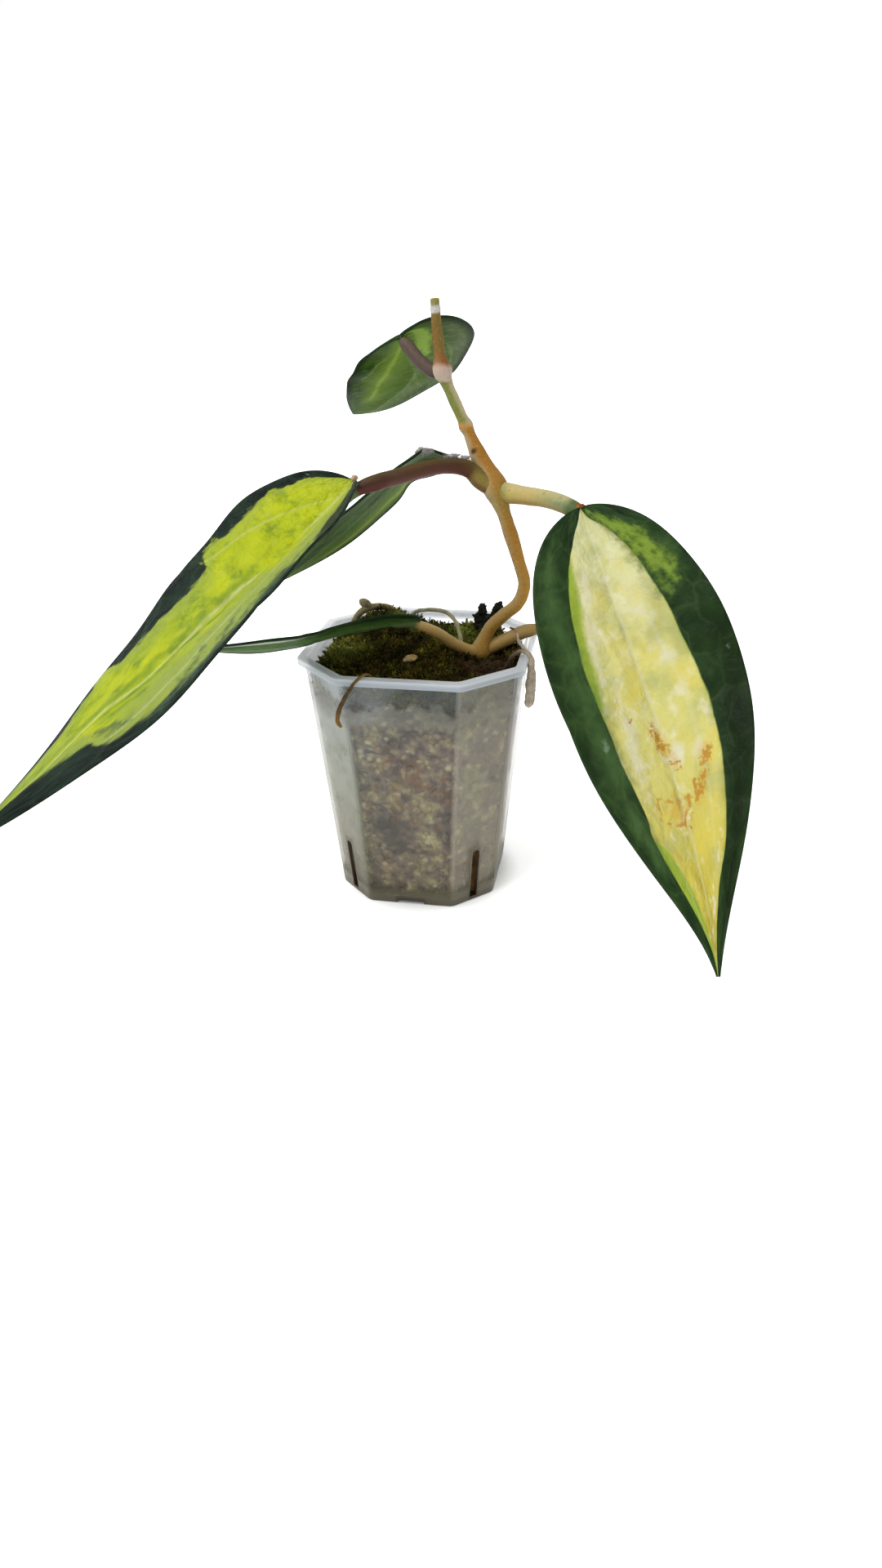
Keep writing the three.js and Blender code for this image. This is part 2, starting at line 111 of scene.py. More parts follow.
# Each leaf, in millimetres and degrees: its petiole's route with radii, the control points of its
# midrib, its roll and its fold at base, middle and tip, and the numbers of its outline.
LEAVES = {
    "leaf_right_upper": {
        "petiole": [(*JOINT_MIDDLE, 2.6), (25, 4.4, 117.8, 2.8), (30, 0.4, 118.1, 2.5),
                    (36.4, -6.2, 118.8, 2.35), (42, -14, 119, 2.3)],
        "spine": [(46, -18.7, 119.6), (54.2, -32.4, 101.8), (81.7, -58.7, 53.3), (86.8, -82.8, 24.6)],
        "roll": (-32, -22, -41), "fold": (16, 16, 16), "half": 24.5, "widest": 0.43,
        "base": 1.4, "tip": 1.38, "curl": 10, "wave": 0.5, "waves": 4,
    },
    "leaf_left_upper": {
        "petiole": [(*JOINT_MIDDLE, 2.6), (17.2, 5, 120.8, 2.6), (13.6, 4.4, 124, 2.3),
                    (8.9, 0, 125.7, 2.1), (3.6, -7.3, 126.2, 2.1), (-1.5, -15.2, 125.8, 2.1),
                    (-6, -22.6, 125.6, 2.1)],
        "spine": [(-11, -24.8, 126), (-21.9, -34.9, 113.1), (-43, -67.3, 97.3), (-92.8, -97.1, 52.7)],
        "roll": (3.5, -6.3, 13.4), "fold": (31, 12, -15), "half": 24.9, "widest": 0.46,
        "base": 1.23, "tip": 1.09, "curl": 0.3, "wave": 0.5, "waves": 4,
    },
    "leaf_back_left": {
        "petiole": [(*JOINT_MIDDLE, 2.4), (18.6, 8.6, 121, 2.2), (15, 12, 123.4, 1.9)],
        "spine": [(11, 14, 124), (-11, 19, 129), (-2, 3, 118), (-49, 7, 87)],
        "roll": (-23, -27, -28), "fold": (1, 1, 1), "half": 17, "widest": 0.43,
        "base": 1.29, "tip": 1.1, "curl": -13, "wave": 0.4, "waves": 3,
    },
    "leaf_top": {
        "petiole": [(*JOINT_TOP, 1.8), (2, 17, 148, 1.9), (-2, 18.4, 150.3, 1.85),
                    (-6.1, 21.4, 154, 1.9)],
        "spine": [(-8.7, 23.1, 156.7), (1, 43.9, 150), (-21.3, 54.3, 131.3), (-34, 66, 129)],
        "roll": (30, 2, -14), "fold": (7, 7, 7), "half": 19.4, "widest": 0.43,
        "base": 0.7, "tip": 1.11, "curl": -2, "wave": 0.3, "waves": 3,
    },
    "leaf_left_lower": {
        "petiole": [(*JOINT_LOW, 2), (14.6, 5.4, 70.8, 2), (9.8, 2, 74, 1.75), (5, -2.2, 79, 1.6)],
        "spine": [(1, -6, 84), (-28, -20, 85), (-21, -16, 77), (-57, -34, 82)],
        "roll": (-30, -24, -35), "fold": (4, 4, 4), "half": 13.5, "widest": 0.42,
        "base": 1.05, "tip": 1, "curl": -7, "wave": 0.2, "waves": 3,
    },
    "leaf_right_lower": {
        "petiole": [(*JOINT_LOW, 2), (18.8, 8, 71.2, 2), (24, 9.2, 73.8, 2),
                    (29.6, 10, 76.4, 2)],
        "spine": [(33.4, 10.4, 78.6), (46, 12, 74), (63, 8, 52), (74, 6, 26)],
        "roll": (-14, -10, -8), "fold": (8, 8, 8), "half": 17, "widest": 0.42,
        "base": 1.1, "tip": 1.2, "curl": 4, "wave": 0.4, "waves": 3,
    },
}

# The chip on the moss and the bare soil by the stem: place and reach.
CHIP_SPOT = ((-1, -10.6, 73.4), 3.0)
SOIL_SPOT = ((22, -9, 70.5), 8.5)
# Marks on the mix, the moss and the stem: where the rust is, fresh tufts with their reach and strength,
# the stem's foot, and a scar.
RUST_HEART = (0, -28, 42)
FRESH_TUFTS = [((-23.7, -4, 73), 13.0, 0.8), ((10, 15, 75), 12.0, 1.0), ((-8, 18, 76), 9.0, 0.5)]
STEM_FOOT_SPOT = (21, -8, 70)
SCAR_SPOT = (14.7, 7.7, 128.3)
# Lumps of bark: place, half size, turn about Z and roughness.
DARK_LUMPS = [
    ((17, 20, 73.8), (3.5, 2.2, 2.1), 0.1, 0.8), ((13.8, 19.2, 76.8), (1.3, 1.2, 1.4), 0.4, 0.6),
    ((15.2, 20, 79.4), (1.3, 1.1, 1.5), 0.9, 0.6), ((17.4, 19.8, 76.6), (2, 1.4, 1.3), 0.2, 0.6),
    ((20.2, 20, 80.2), (1.5, 1.2, 1.4), 0.6, 0.6), ((18.9, 20, 78), (1, 1, 1.7), 0.3, 0.6),
    ((15.8, 20, 77.6), (0.8, 0.8, 1.2), 0.3, 0.6),
]

# Scraps of grey fluff on the back left leaf's upper edge: place, half size and turn.
FLUFF = [
    ((1.2, 1.4, 129.3), (1.4, 0.9, 0.7), 0.3), ((2.8, 3, 129), (1.2, 0.8, 0.4), 0.9),
    ((9.5, 2.4, 128), (1.8, 0.5, 0.35), 0.5), ((12.4, 5, 127), (1.5, 0.6, 0.4), 0.8),
]

# Aerial roots, as x, y, z and radius.
ROOTS = {
    "root_front": [[
        (-8.4, -22, 69, 0.35), (-8.6, -26.4, 73.6, 0.35), (-9.4, -31.2, 76, 0.38),
        (-11, -34, 75.2, 0.42), (-12.6, -34.3, 73, 0.5), (-14.7, -33.8, 69.6, 0.6),
        (-16.6, -32.8, 65.4, 0.65), (-17.2, -32.2, 62.2, 0.6), (-16.2, -32.2, 60.6, 0.4),
    ]],
    "root_right": [[(26, 3, 79.6, 0.25), (28.2, -2, 80, 0.3), (29.8, -6.6, 78.4, 0.4),
                    (32.6, -9.4, 76.6, 0.5)], [
        (25, -5, 68, 0.4), (27.4, -7.6, 74.4, 0.4), (30.4, -9, 76.9, 0.5), (33, -9.8, 76, 0.75),
        (33.6, -10.6, 72.4, 1.1), (33.6, -11.4, 68, 1.45), (33.2, -12.2, 61.4, 1.4),
    ]],
    "root_back": [
        [(-25.4, 17, 69.6, 1), (-24.6, 18.6, 74, 1), (-22.6, 20.6, 76.8, 1.1), (-18.4, 22.6, 78, 1.1),
         (-13.6, 23.4, 77, 1), (-9.6, 24, 71.6, 0.9)],
        [(-19.6, 22, 77.4, 1), (-21.6, 21.8, 79, 1.5), (-23.4, 21.6, 80.2, 1.1)],
    ],
    "root_arch": [[
        (-9, 21, 71, 0.6), (-6.4, 20.4, 76.8, 0.6), (-2.6, 20, 78.4, 0.6), (4.3, 18, 78.6, 0.6),
        (7.6, 15, 77, 0.6), (9.2, 12, 75.4, 0.6), (10.6, 8.4, 72.6, 0.6), (11.2, 7, 67.6, 0.6),
    ]],
}

# Hex colours are given as they look in the bright light of the stage. These shares of them are what the
# real surfaces send back. Loose and half clear stuff shades itself, so its share is larger.
TRUE_SHARE = 0.5
PLASTIC_SHARE = 0.75
MIX_SHARE = 0.66
MOSS_SHARE = 0.85

# The camera's place in metres and its yaw, pitch and roll in degrees, the way of the soft sun's light
# with its spread in degrees, and the millimetres between which the floor begins to glow.
CAMERA_PLACE = (0.0648, -0.3204, 0.1883)
CAMERA_TURN = (-10.5, 26, -0.82)
SENSOR_HEIGHT = 36
SUN_WAY = (0.5, 0.35, -0.8)
SUN_SPREAD = 40
GLOW_SPAN = (22.0, 30.0)
FLOOR_HALF = 4.0

# Roots have rough skins, and the fuzzy one on the right has the roughest. Millimetres.
ROOT_RELIEF = 0.35
FUZZY_RELIEF = 1.1
ROOT_LUMP = 1.8
# What all the fine hairs have in common.
HAIRS = {"slimmest": 0.8, "thickness": 1.0, "roughen_size": 1 * MM}


# Small tools

def linear(code):
    """An sRGB hex colour as linear red, green and blue."""
    shares = [int(code[i:i + 2], 16) / 255 for i in (1, 3, 5)]
    return tuple(s / 12.92 if s <= 0.04045 else ((s + 0.055) / 1.055) ** 2.4 for s in shares)


def add(tree, kind, inputs=(), operation=None, stops=None, points=None, **settings):
    """Adds a node with its settings, its links or values, its ramp's stops or its curve's points, and
    returns its first live output. Inputs are a list, in the order of the live sockets, or named. A
    noise's are place, scale, detail and roughness, and a MapRange's are a value and two ranges. A kind
    that doesn't say Node is a shader node's, and a Mix mixes colours unless its data type is given."""
    node = tree.nodes.new(kind if "Node" in kind else "ShaderNode" + kind)
    if kind == "Mix":
        settings.setdefault("data_type", "RGBA")
    if operation:
        settings["operation"] = operation
    for name, value in settings.items():
        setattr(node, name, value)
    live = [socket for socket in node.inputs if socket.enabled]
    if isinstance(inputs, dict):
        pairs = [(next(s for s in live if s.name == name), value) for name, value in inputs.items()]
    else:
        pairs = list(zip(live, inputs))
    for socket, value in pairs:
        if isinstance(value, bpy.types.NodeSocket):
            tree.links.new(value, socket)
        elif isinstance(value, str) and socket.type == "RGBA":
            socket.default_value = (*linear(value), 1)
        elif socket.type == "RGBA":
            socket.default_value = (*tuple(value)[:3], 1)
        elif value is not None:
            socket.default_value = value
    if stops:
        elements = node.color_ramp.elements
        while len(elements) > 1:
            elements.remove(elements[-1])
        for number, (place, colour) in enumerate(stops):
            stop = elements[0] if number == 0 else elements.new(place)
            stop.position = place
            shade = linear(colour) if isinstance(colour, str) else (colour,) * 3
            stop.color = (*shade, 1)
    if points:
        curve = node.mapping.curves[0]
        curve.points[0].location, curve.points[1].location = points[0], points[-1]
        for place in points[1:-1]:
            curve.points.new(*place)
        node.mapping.update()
    return next((socket for socket in node.outputs if socket.enabled), None)


def new_tree(name, inputs):
    """A geometry node tree with named inputs, and its input node."""
    tree = bpy.data.node_groups.new(name, "GeometryNodeTree")
    tree.interface.new_socket("Geometry", in_out="INPUT", socket_type="NodeSocketGeometry")
    for title, kind in inputs:
        tree.interface.new_socket(title, in_out="INPUT", socket_type="NodeSocket" + kind)
    tree.interface.new_socket("Geometry", in_out="OUTPUT", socket_type="NodeSocketGeometry")
    start = tree.nodes.new("NodeGroupInput")
    return tree, start.outputs


def close_tree(tree, geometry, material):
    """Ends a tree: smooth faces, real mesh in place of instances, and the material."""
    smooth = add(tree, "GeometryNodeSetShadeSmooth", {"Geometry": geometry})
    whole = add(tree, "GeometryNodeRealizeInstances", [smooth])
    dressed = add(tree, "GeometryNodeSetMaterial", {"Geometry": whole, "Material": material})
    add(tree, "NodeGroupOutput", {"Geometry": dressed})


def run_tree(tree, mesh, values):
    """The plain mesh that a tree makes of a mesh, with its inputs set by name."""
    carrier = bpy.data.objects.new("carrier", mesh)
    modifier = carrier.modifiers.new("tree", "NODES")
    modifier.node_group = tree
    for item in tree.interface.items_tree:
        if item.in_out == "INPUT" and item.name in values:
            modifier[item.identifier] = values[item.name]
    bpy.context.scene.collection.objects.link(carrier)
    depsgraph = bpy.context.evaluated_depsgraph_get()
    made = bpy.data.meshes.new_from_object(carrier.evaluated_get(depsgraph))
    bpy.data.objects.remove(carrier)
    return made


def join(name, meshes):
    """One mesh of several, each with the material slots of its own."""
    whole = bmesh.new()
    materials = []
    for mesh in meshes:
        slots = []
        for material in mesh.materials:
            if material not in materials:
                materials.append(material)
            slots.append(materials.index(material))
        before = len(whole.faces)
        whole.from_mesh(mesh)
        whole.faces.ensure_lookup_table()
        for face in whole.faces[before:]:
            face.material_index = slots[face.material_index] if slots else 0
    joined = bpy.data.meshes.new(name)
    whole.to_mesh(joined)
    whole.free()
    for material in materials:
        joined.materials.append(material)
    return joined


def put_piece(name, mesh, slot, *nodes):
    """Puts a finished mesh in the scene as a piece that stands for its CAD nodes."""
    mesh.name = name
    piece = bpy.data.objects.new(name, mesh)
    bpy.context.scene.collection.objects.link(piece)
    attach(piece, BODY)
    if nodes:
        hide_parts(*nodes)
    return piece


def loft(rings):
    """A closed surface through rings of points in millimetres, from the bottom up, anticlockwise."""
    count = len(rings[0])
    points = [Vector(p) * MM for ring in rings for p in ring]
    faces = []
    for row in range(len(rings) - 1):
        for i in range(count):
            a, b = row * count + i, row * count + (i + 1) % count
            faces.append((a, b, b + count, a + count))
    last = (len(rings) - 1) * count
    faces += [tuple(range(count))[::-1], tuple(range(last, last + count))]
    mesh = bpy.data.meshes.new("loft")
    mesh.from_pydata(points, [], faces)
    return mesh


def dress(mesh, *materials):
    """Smooth faces, and the materials in order."""
    for face in mesh.polygons:
        face.use_smooth = True
    for material in materials:
        mesh.materials.append(material)
    return mesh


def smooth_step(x):
    x = min(max(x, 0), 1)
    return x * x * (3 - 2 * x)


def mix(a, b, share):
    return a + (b - a) * share


# Routes and tubes

def route_point(points, t):
    """A point on a centripetal Catmull-Rom curve through points, at a share of their number."""
    spans = len(points) - 1
    span = min(int(t * spans), spans - 1)
    weight = t * spans - span
    p1, p2 = points[span], points[span + 1]
    p0 = points[span - 1] if span else 2 * p1 - p2
    p3 = points[span + 2] if span + 2 <= spans else 2 * p2 - p1
    d0, d1, d2 = (math.sqrt((b - a).length) for a, b in ((p0, p1), (p1, p2), (p2, p3)))
    start = ((p1 - p0) / d0 - (p2 - p0) / (d0 + d1) + (p2 - p1) / d1) * d1
    end = ((p2 - p1) / d1 - (p3 - p1) / (d1 + d2) + (p3 - p2) / d2) * d1
    square = -3 * p1 + 3 * p2 - 2 * start - end
    cube = 2 * p1 - 2 * p2 + start + end
    return p1 + start * weight + square * weight ** 2 + cube * weight ** 3


def route_mesh(routes):
    """Polylines for the tube tree: each route is a list of places in millimetres, with the radius and
    the share of the way at each."""
    points, edges, reaches, shares = [], [], [], []
    for places, radii, route_shares in routes:
        first = len(points)
        points += [p * MM for p in places]
        reaches += [r * MM for r in radii]
        shares += route_shares
        edges += [(i, i + 1) for i in range(first, len(points) - 1)]
    mesh = bpy.data.meshes.new("route")
    mesh.from_pydata(points, edges, [])
    mesh.attributes.new("reach", "FLOAT", "POINT").data.foreach_set("value", reaches)
    mesh.attributes.new("share", "FLOAT", "POINT").data.foreach_set("value", shares)
    return mesh


def bar_route(route, step=0.6, whole=None):
    """Places, radii and shares along a route of x, y, z and radius, rounded off at its far end. The
    share is 1 at the end, or at the end of the whole-th span."""
    points = [Vector(p[:3]) for p in route]
    spans = len(points) - 1
    length = sum((b - a).length for a, b in zip(points, points[1:]))
    count = max(8, int(length / step))
    places, radii, shares = [], [], []
    for i in range(count + 1):
        t = i / count
        span = min(int(t * spans), spans - 1)
        radius = mix(route[span][3], route[span + 1][3], smooth_step(t * spans - span))
        left = (1 - t) * length / radius
        places.append(route_point(points, t))
        radii.append(radius * math.sqrt(max(0.04, 1 - max(0, 1 - left) ** 2)))
        shares.append(t * spans / (whole or spans))
    return places, radii, shares


def make_tube_tree():
    """A tube of varying radius along each route, with a rough or smooth skin."""
    tree, given = new_tree("Tube along a route", [
        ("Sides", "Int"), ("Relief", "Float"), ("Relief size", "Float"), ("Material", "Material"),
    ])
    curve = add(tree, "GeometryNodeMeshToCurve", {"Mesh": given["Geometry"]})
    reach = add(tree, "GeometryNodeInputNamedAttribute", {"Name": "reach"}, data_type="FLOAT")
    ring = add(tree, "GeometryNodeCurvePrimitiveCircle", {"Resolution": given["Sides"], "Radius": 1.0})
    tube = add(tree, "GeometryNodeCurveToMesh", {"Curve": curve, "Profile Curve": ring, "Scale": reach,
                                                 "Fill Caps": True})
    # Size is the width of a lump, and the noise takes the number of lumps to a metre.
    scale = add(tree, "Math", [1.0, given["Relief size"]], "DIVIDE")
    grain = add(tree, "TexNoise", {"Scale": scale, "Detail": 2.0})
    height = add(tree, "Math", [grain, 0.5], "SUBTRACT")
    lift = add(tree, "Math", [height, given["Relief"]], "MULTIPLY")
    normal = add(tree, "GeometryNodeInputNormal")
    push = add(tree, "VectorMath", {"Vector": normal, "Scale": lift}, "SCALE")
    rough = add(tree, "GeometryNodeSetPosition", {"Geometry": tube, "Offset": push})
    close_tree(tree, rough, given["Material"])
    return tree


def make_scatter_tree():
    """Copies of one shape all over a surface, turned, sized and roughened at random."""
    tree, given = new_tree("Scatter on a surface", [
        ("Shape", "Object"), ("Density", "Float"), ("Seed", "Int"), ("Smallest", "Float"),
        ("Largest", "Float"), ("Slimmest", "Float"), ("Thickness", "Float"), ("Lean", "Float"),
        ("Roughen", "Float"), ("Roughen size", "Float"), ("Material", "Material"),
    ])
    spread = add(tree, "GeometryNodeDistributePointsOnFaces", {"Mesh": given["Geometry"],
                                                               "Density": given["Density"],
                                                               "Seed": given["Seed"]}).node
    shape = add(tree, "GeometryNodeObjectInfo", {"Object": given["Shape"]}).node.outputs["Geometry"]
    back = add(tree, "Math", [given["Lean"], -1.0], "MULTIPLY")
    least = add(tree, "CombineXYZ", {"X": back, "Y": back, "Z": 0.0})
    most = add(tree, "CombineXYZ", {"X": given["Lean"], "Y": given["Lean"], "Z": 2 * math.pi})
    angles = add(tree, "FunctionNodeRandomValue", {"Min": least, "Max": most, "Seed": given["Seed"]},
                 data_type="FLOAT_VECTOR")
    turn = add(tree, "FunctionNodeEulerToRotation", [angles])
    turned = add(tree, "FunctionNodeRotateRotation", {"Rotation": spread.outputs["Rotation"],
                                                      "Rotate By": turn}, rotation_space="LOCAL")
    size = add(tree, "FunctionNodeRandomValue", {"Min": given["Smallest"], "Max": given["Largest"],
                                                 "Seed": 11}, data_type="FLOAT")
    slim = add(tree, "FunctionNodeRandomValue", {"Min": given["Slimmest"], "Max": 1.0, "Seed": 12},
               data_type="FLOAT")
    width = add(tree, "Math", [size, slim], "MULTIPLY")
    depth = add(tree, "Math", [size, given["Thickness"]], "MULTIPLY")
    sizes = add(tree, "CombineXYZ", {"X": size, "Y": width, "Z": depth})
    copies = add(tree, "GeometryNodeInstanceOnPoints", {"Points": spread.outputs["Points"],
                                                        "Instance": shape, "Rotation": turned,
                                                        "Scale": sizes})
    shade = add(tree, "FunctionNodeRandomValue", {"Min": 0.0, "Max": 1.0, "Seed": 13}, data_type="FLOAT")
    shaded = add(tree, "GeometryNodeStoreNamedAttribute", {"Geometry": copies, "Name": "shade",
                                                           "Value": shade}, data_type="FLOAT",
                 domain="INSTANCE")
    whole = add(tree, "GeometryNodeRealizeInstances", [shaded])
    scale = add(tree, "Math", [1.0, given["Roughen size"]], "DIVIDE")
    grain = add(tree, "TexNoise", {"Scale": scale, "Detail": 1.0}).node.outputs["Color"]
    middle = add(tree, "VectorMath", [grain, (0.5, 0.5, 0.5)], "SUBTRACT")
    push = add(tree, "VectorMath", {"Vector": middle, "Scale": given["Roughen"]}, "SCALE")
    rough = add(tree, "GeometryNodeSetPosition", {"Geometry": whole, "Offset": push})
    close_tree(tree, rough, given["Material"])
    return tree


def tubes(routes, material, sides, relief, relief_size):
    """The plain mesh of tubes along routes, with relief in millimetres."""
    return run_tree(TREES["tube"], route_mesh(routes), {
        "Sides": sides, "Relief": relief * MM, "Relief size": relief_size * MM, "Material": material,
    })


def scatter(surface, shape, material, **values):
    """The plain mesh of copies of a shape on a surface. The shape's carrier is taken away again."""
    carrier = bpy.data.objects.new("shape", shape)
    bpy.context.scene.collection.objects.link(carrier)
    made = run_tree(TREES["scatter"], surface, {"Shape": carrier, "Material": material, **{
        name.replace("_", " ").capitalize(): value for name, value in values.items()}})
    bpy.data.objects.remove(carrier)
    return made


TREES = {}


# The pot

def octagon(half, z, steps=CORNER_STEPS):
    """A square with its corners cut off and each edge rounded, anticlockwise from above."""
    flat = half * (1 - CORNER_CUT)
    corners = [Vector(c) for c in (
        (half, -flat), (half, flat), (flat, half), (-flat, half),
        (-half, flat), (-half, -flat), (-flat, -half), (flat, -half))]
    ring = []
    for i, corner in enumerate(corners):
        before = corner + (corners[i - 1] - corner).normalized() * CORNER_ROUND
        after = corner + (corners[(i + 1) % 8] - corner).normalized() * CORNER_ROUND
        for step in range(steps):
            t = step / (steps - 1)
            spot = before * (1 - t) ** 2 + corner * 2 * t * (1 - t) + after * t ** 2
            ring.append((spot.x, spot.y, z))
    return ring


def wall_half(pot, z):
    """Half the width across flats of the wall's outside, in millimetres."""
    top = (pot.height - pot.lip_height) / MM
    return mix(pot.base_half, pot.mouth_half, z / top) / MM


def inside_half(pot, z):
    """The same for the wall's inside."""
    return wall_half(pot, z) - pot.wall / MM


def outline(half, z, spacing):
    """Points evenly spaced along the octagon."""
    corners = [Vector(p) for p in octagon(half, z, 3)]
    lengths = [(corners[(i + 1) % len(corners)] - p).length for i, p in enumerate(corners)]
    count = int(sum(lengths) / spacing)
    points, side, walked = [], 0, 0.0
    for i in range(count):
        target = sum(lengths) * i / count
        while walked + lengths[side] < target:
            walked += lengths[side]
            side += 1
        share = (target - walked) / lengths[side]
        points.append(corners[side].lerp(corners[(side + 1) % len(corners)], share))
    return points


def cut(mesh, cutters):
    """A mesh with closed cutters taken out of it."""
    body = bpy.data.objects.new("body", mesh)
    bpy.context.scene.collection.objects.link(body)
    tool = bpy.data.objects.new("tool", join("tool", cutters))
    bpy.context.scene.collection.objects.link(tool)
    hole = body.modifiers.new("holes", "BOOLEAN")
    hole.operation, hole.solver, hole.object = "DIFFERENCE", "EXACT", tool
    depsgraph = bpy.context.evaluated_depsgraph_get()
    made = bpy.data.meshes.new_from_object(body.evaluated_get(depsgraph))
    bpy.data.objects.remove(body)
    bpy.data.objects.remove(tool)
    return made


def slot_cutter(pot, side):
    """A round-topped drain slot through one cut corner."""
    reach = pot.base_half / MM * (2 - CORNER_CUT) / math.sqrt(2)
    radius = SLOT["width"] / 2
    top = SLOT["bottom"] + SLOT["height"] - radius
    shape = [(-radius, SLOT["bottom"]), (radius, SLOT["bottom"])]
    shape += [(radius * math.cos(a), top + radius * math.sin(a))
              for a in (math.pi * i / SLOT_TOP_STEPS for i in range(SLOT_TOP_STEPS + 1))]
    turn = Matrix.Rotation(-math.pi / 4 + side * math.pi / 2, 3, "Z")
    rings = []
    for y in (reach + SLOT["depth"] / 2, reach - SLOT["depth"] / 2):
        rings.append([turn @ Vector((x, y, z)) for x, z in shape])
    return loft(rings)


def channel_cutter(pot, side):
    """A shallow drain channel under one flat side."""
    near, far = CHANNEL["inner"], pot.base_half / MM + 2
    half, depth = CHANNEL["width"] / 2, CHANNEL["depth"]
    turn = Matrix.Rotation(side * math.pi / 2, 3, "Z")
    rings = []
    for z in (-depth, depth):
        square = [(near, -half, z), (far, -half, z), (far, half, z), (near, half, z)]
        rings.append([turn @ Vector(p) for p in square])
    return loft(rings)


def make_pot_mesh(pot, material):
    """The pot with its rounded foot and lip, its slots and channels, and edges that stay crisp."""
    height, lip_low = pot.height / MM, (pot.height - pot.lip_height) / MM
    lip = pot.lip_half / MM
    rings = []
    for degrees in (0, 22.5, 45, 67.5, 90):
        z = FOOT_ROUND * (1 - math.cos(math.radians(degrees)))
        shift = FOOT_ROUND * (1 - math.sin(math.radians(degrees)))
        rings.append(octagon(wall_half(pot, z) - shift, z))
    rings += [octagon(wall_half(pot, z), z) for z in (*WALL_LEVELS, lip_low - LIP_ROUND)]
    turns = [math.radians(degrees) for degrees in (0, 30, 60, 90)]
    rings += [octagon(lip - LIP_ROUND * (1 - math.sin(a)), lip_low + LIP_ROUND * (1 - math.cos(a)))
              for a in turns]
    rings += [octagon(lip - LIP_ROUND * (1 - math.cos(a)), height - LIP_ROUND * (1 - math.sin(a)))
              for a in turns]
    inner = inside_half(pot, height)
    rings += [octagon(inner + out, height - down) for out, down in LIP_INSIDE]
    rings += [octagon(inside_half(pot, z), z)
              for z in (height - 0.3, *WALL_LEVELS[::-1], FLOOR_THICK + FOOT_ROUND)]
    rings.append(octagon(inside_half(pot, FLOOR_THICK) - FOOT_ROUND, FLOOR_THICK))
    mesh = cut(loft(rings), [maker(pot, side) for side in range(4)
                             for maker in (slot_cutter, channel_cutter)])
    mesh.materials.clear()
    dress(mesh, material)
    mesh.set_sharp_from_angle(angle=math.radians(SHARP_ANGLE))
    return mesh


# Mix and moss

def moss_height(x, y):
    """The moss's height as the solid frame has it, in millimetres."""
    lumps = (math.sin(x * 0.9 + 0.5) * math.cos(y * 0.8) + 0.7 * math.sin(x * 0.45 - y * 0.62 + 2)
             + 0.5 * math.sin(x * 1.3 + y * 1.1))
    mounds = sum(h * math.exp(-((x - mx) ** 2 + (y - my) ** 2) / r ** 2) for mx, my, h, r in MOUNDS)
    return MOSS_EDGE + mounds + MOSS_LUMP * lumps


def lump(detail=1):
    """A faceted round grain of a few dozen faces."""
    grain = bmesh.new()
    bmesh.ops.create_icosphere(grain, subdivisions=detail, radius=1)
    mesh = bpy.data.meshes.new("grain")
    grain.to_mesh(mesh)
    grain.free()
    return mesh


def make_chunk(centre, size, turn, rough, seed, material, boxy=1.0, detail=3):
    """A knobbly lump: a ball drawn out to half its size each way, roughened and turned about Z."""
    grain = bmesh.new()
    bmesh.ops.create_icosphere(grain, subdivisions=detail, radius=1)
    spin = Matrix.Rotation(turn, 3, "Z")
    for vertex in grain.verts:
        knobs = noise.noise(vertex.co * 1.6 + Vector((seed, 0, 0)))
        knobs += 0.5 * noise.noise(vertex.co * 4 + Vector((0, seed, 0)))
        square = Vector([math.copysign(abs(c) ** boxy, c) for c in vertex.co]) * (1 + rough * knobs)
        spot = Vector([c * half for c, half in zip(square, size)])
        vertex.co = (spin @ spot + Vector(centre)) * MM
    mesh = bpy.data.meshes.new("chunk")
    grain.to_mesh(mesh)
    grain.free()
    return dress(mesh, material)


def make_spike():
    """One hair: a slim cone of three sides."""
    angles = [2 * math.pi * i / 3 for i in range(3)]
    points = [(0.035 * math.cos(a), 0.035 * math.sin(a), 0) for a in angles] + [(0.1, 0, 1)]
    mesh = bpy.data.meshes.new("spike")
    mesh.from_pydata(points, [], [(0, 1, 3), (1, 2, 3), (2, 0, 3), (2, 1, 0)])
    return mesh


def part_of(mesh, spots, keep_near):
    """A copy of a mesh with only the faces near some spots, or only those far from all of them."""
    part = bmesh.new()
    part.from_mesh(mesh)
    away = []
    for face in part.faces:
        middle = face.calc_center_median() / MM
        near = any((middle - Vector(spot)).length < reach for spot, reach in spots)
        if near != keep_near:
            away.append(face)
    bmesh.ops.delete(part, geom=away, context="FACES")
    kept = bpy.data.meshes.new("part")
    part.to_mesh(kept)
    part.free()
    return kept


def make_mix_body(pot, material, seed):
    """The body of the mix, close inside the wall, with a lumpy surface."""
    rings = []
    levels = int((MIX_TOP - MIX_BOTTOM) / MIX_SPACING)
    for level in range(levels + 1):
        z = mix(MIX_BOTTOM, MIX_TOP, level / levels)
        ring = []
        for p in outline(inside_half(pot, z) - MIX_GAP, z, MIX_SPACING):
            lumpy = noise.noise(Vector((p.x, p.y, p.z + seed)) / MIX_LUMP)
            scale = 1 - MIX_RELIEF * (0.5 + lumpy) / p.to_2d().length
            ring.append((p.x * scale, p.y * scale, z))
        rings.append(ring)
    count = min(len(ring) for ring in rings)
    even = [[ring[int(i * len(ring) / count)] for i in range(count)] for ring in rings]
    return dress(loft(even), material)


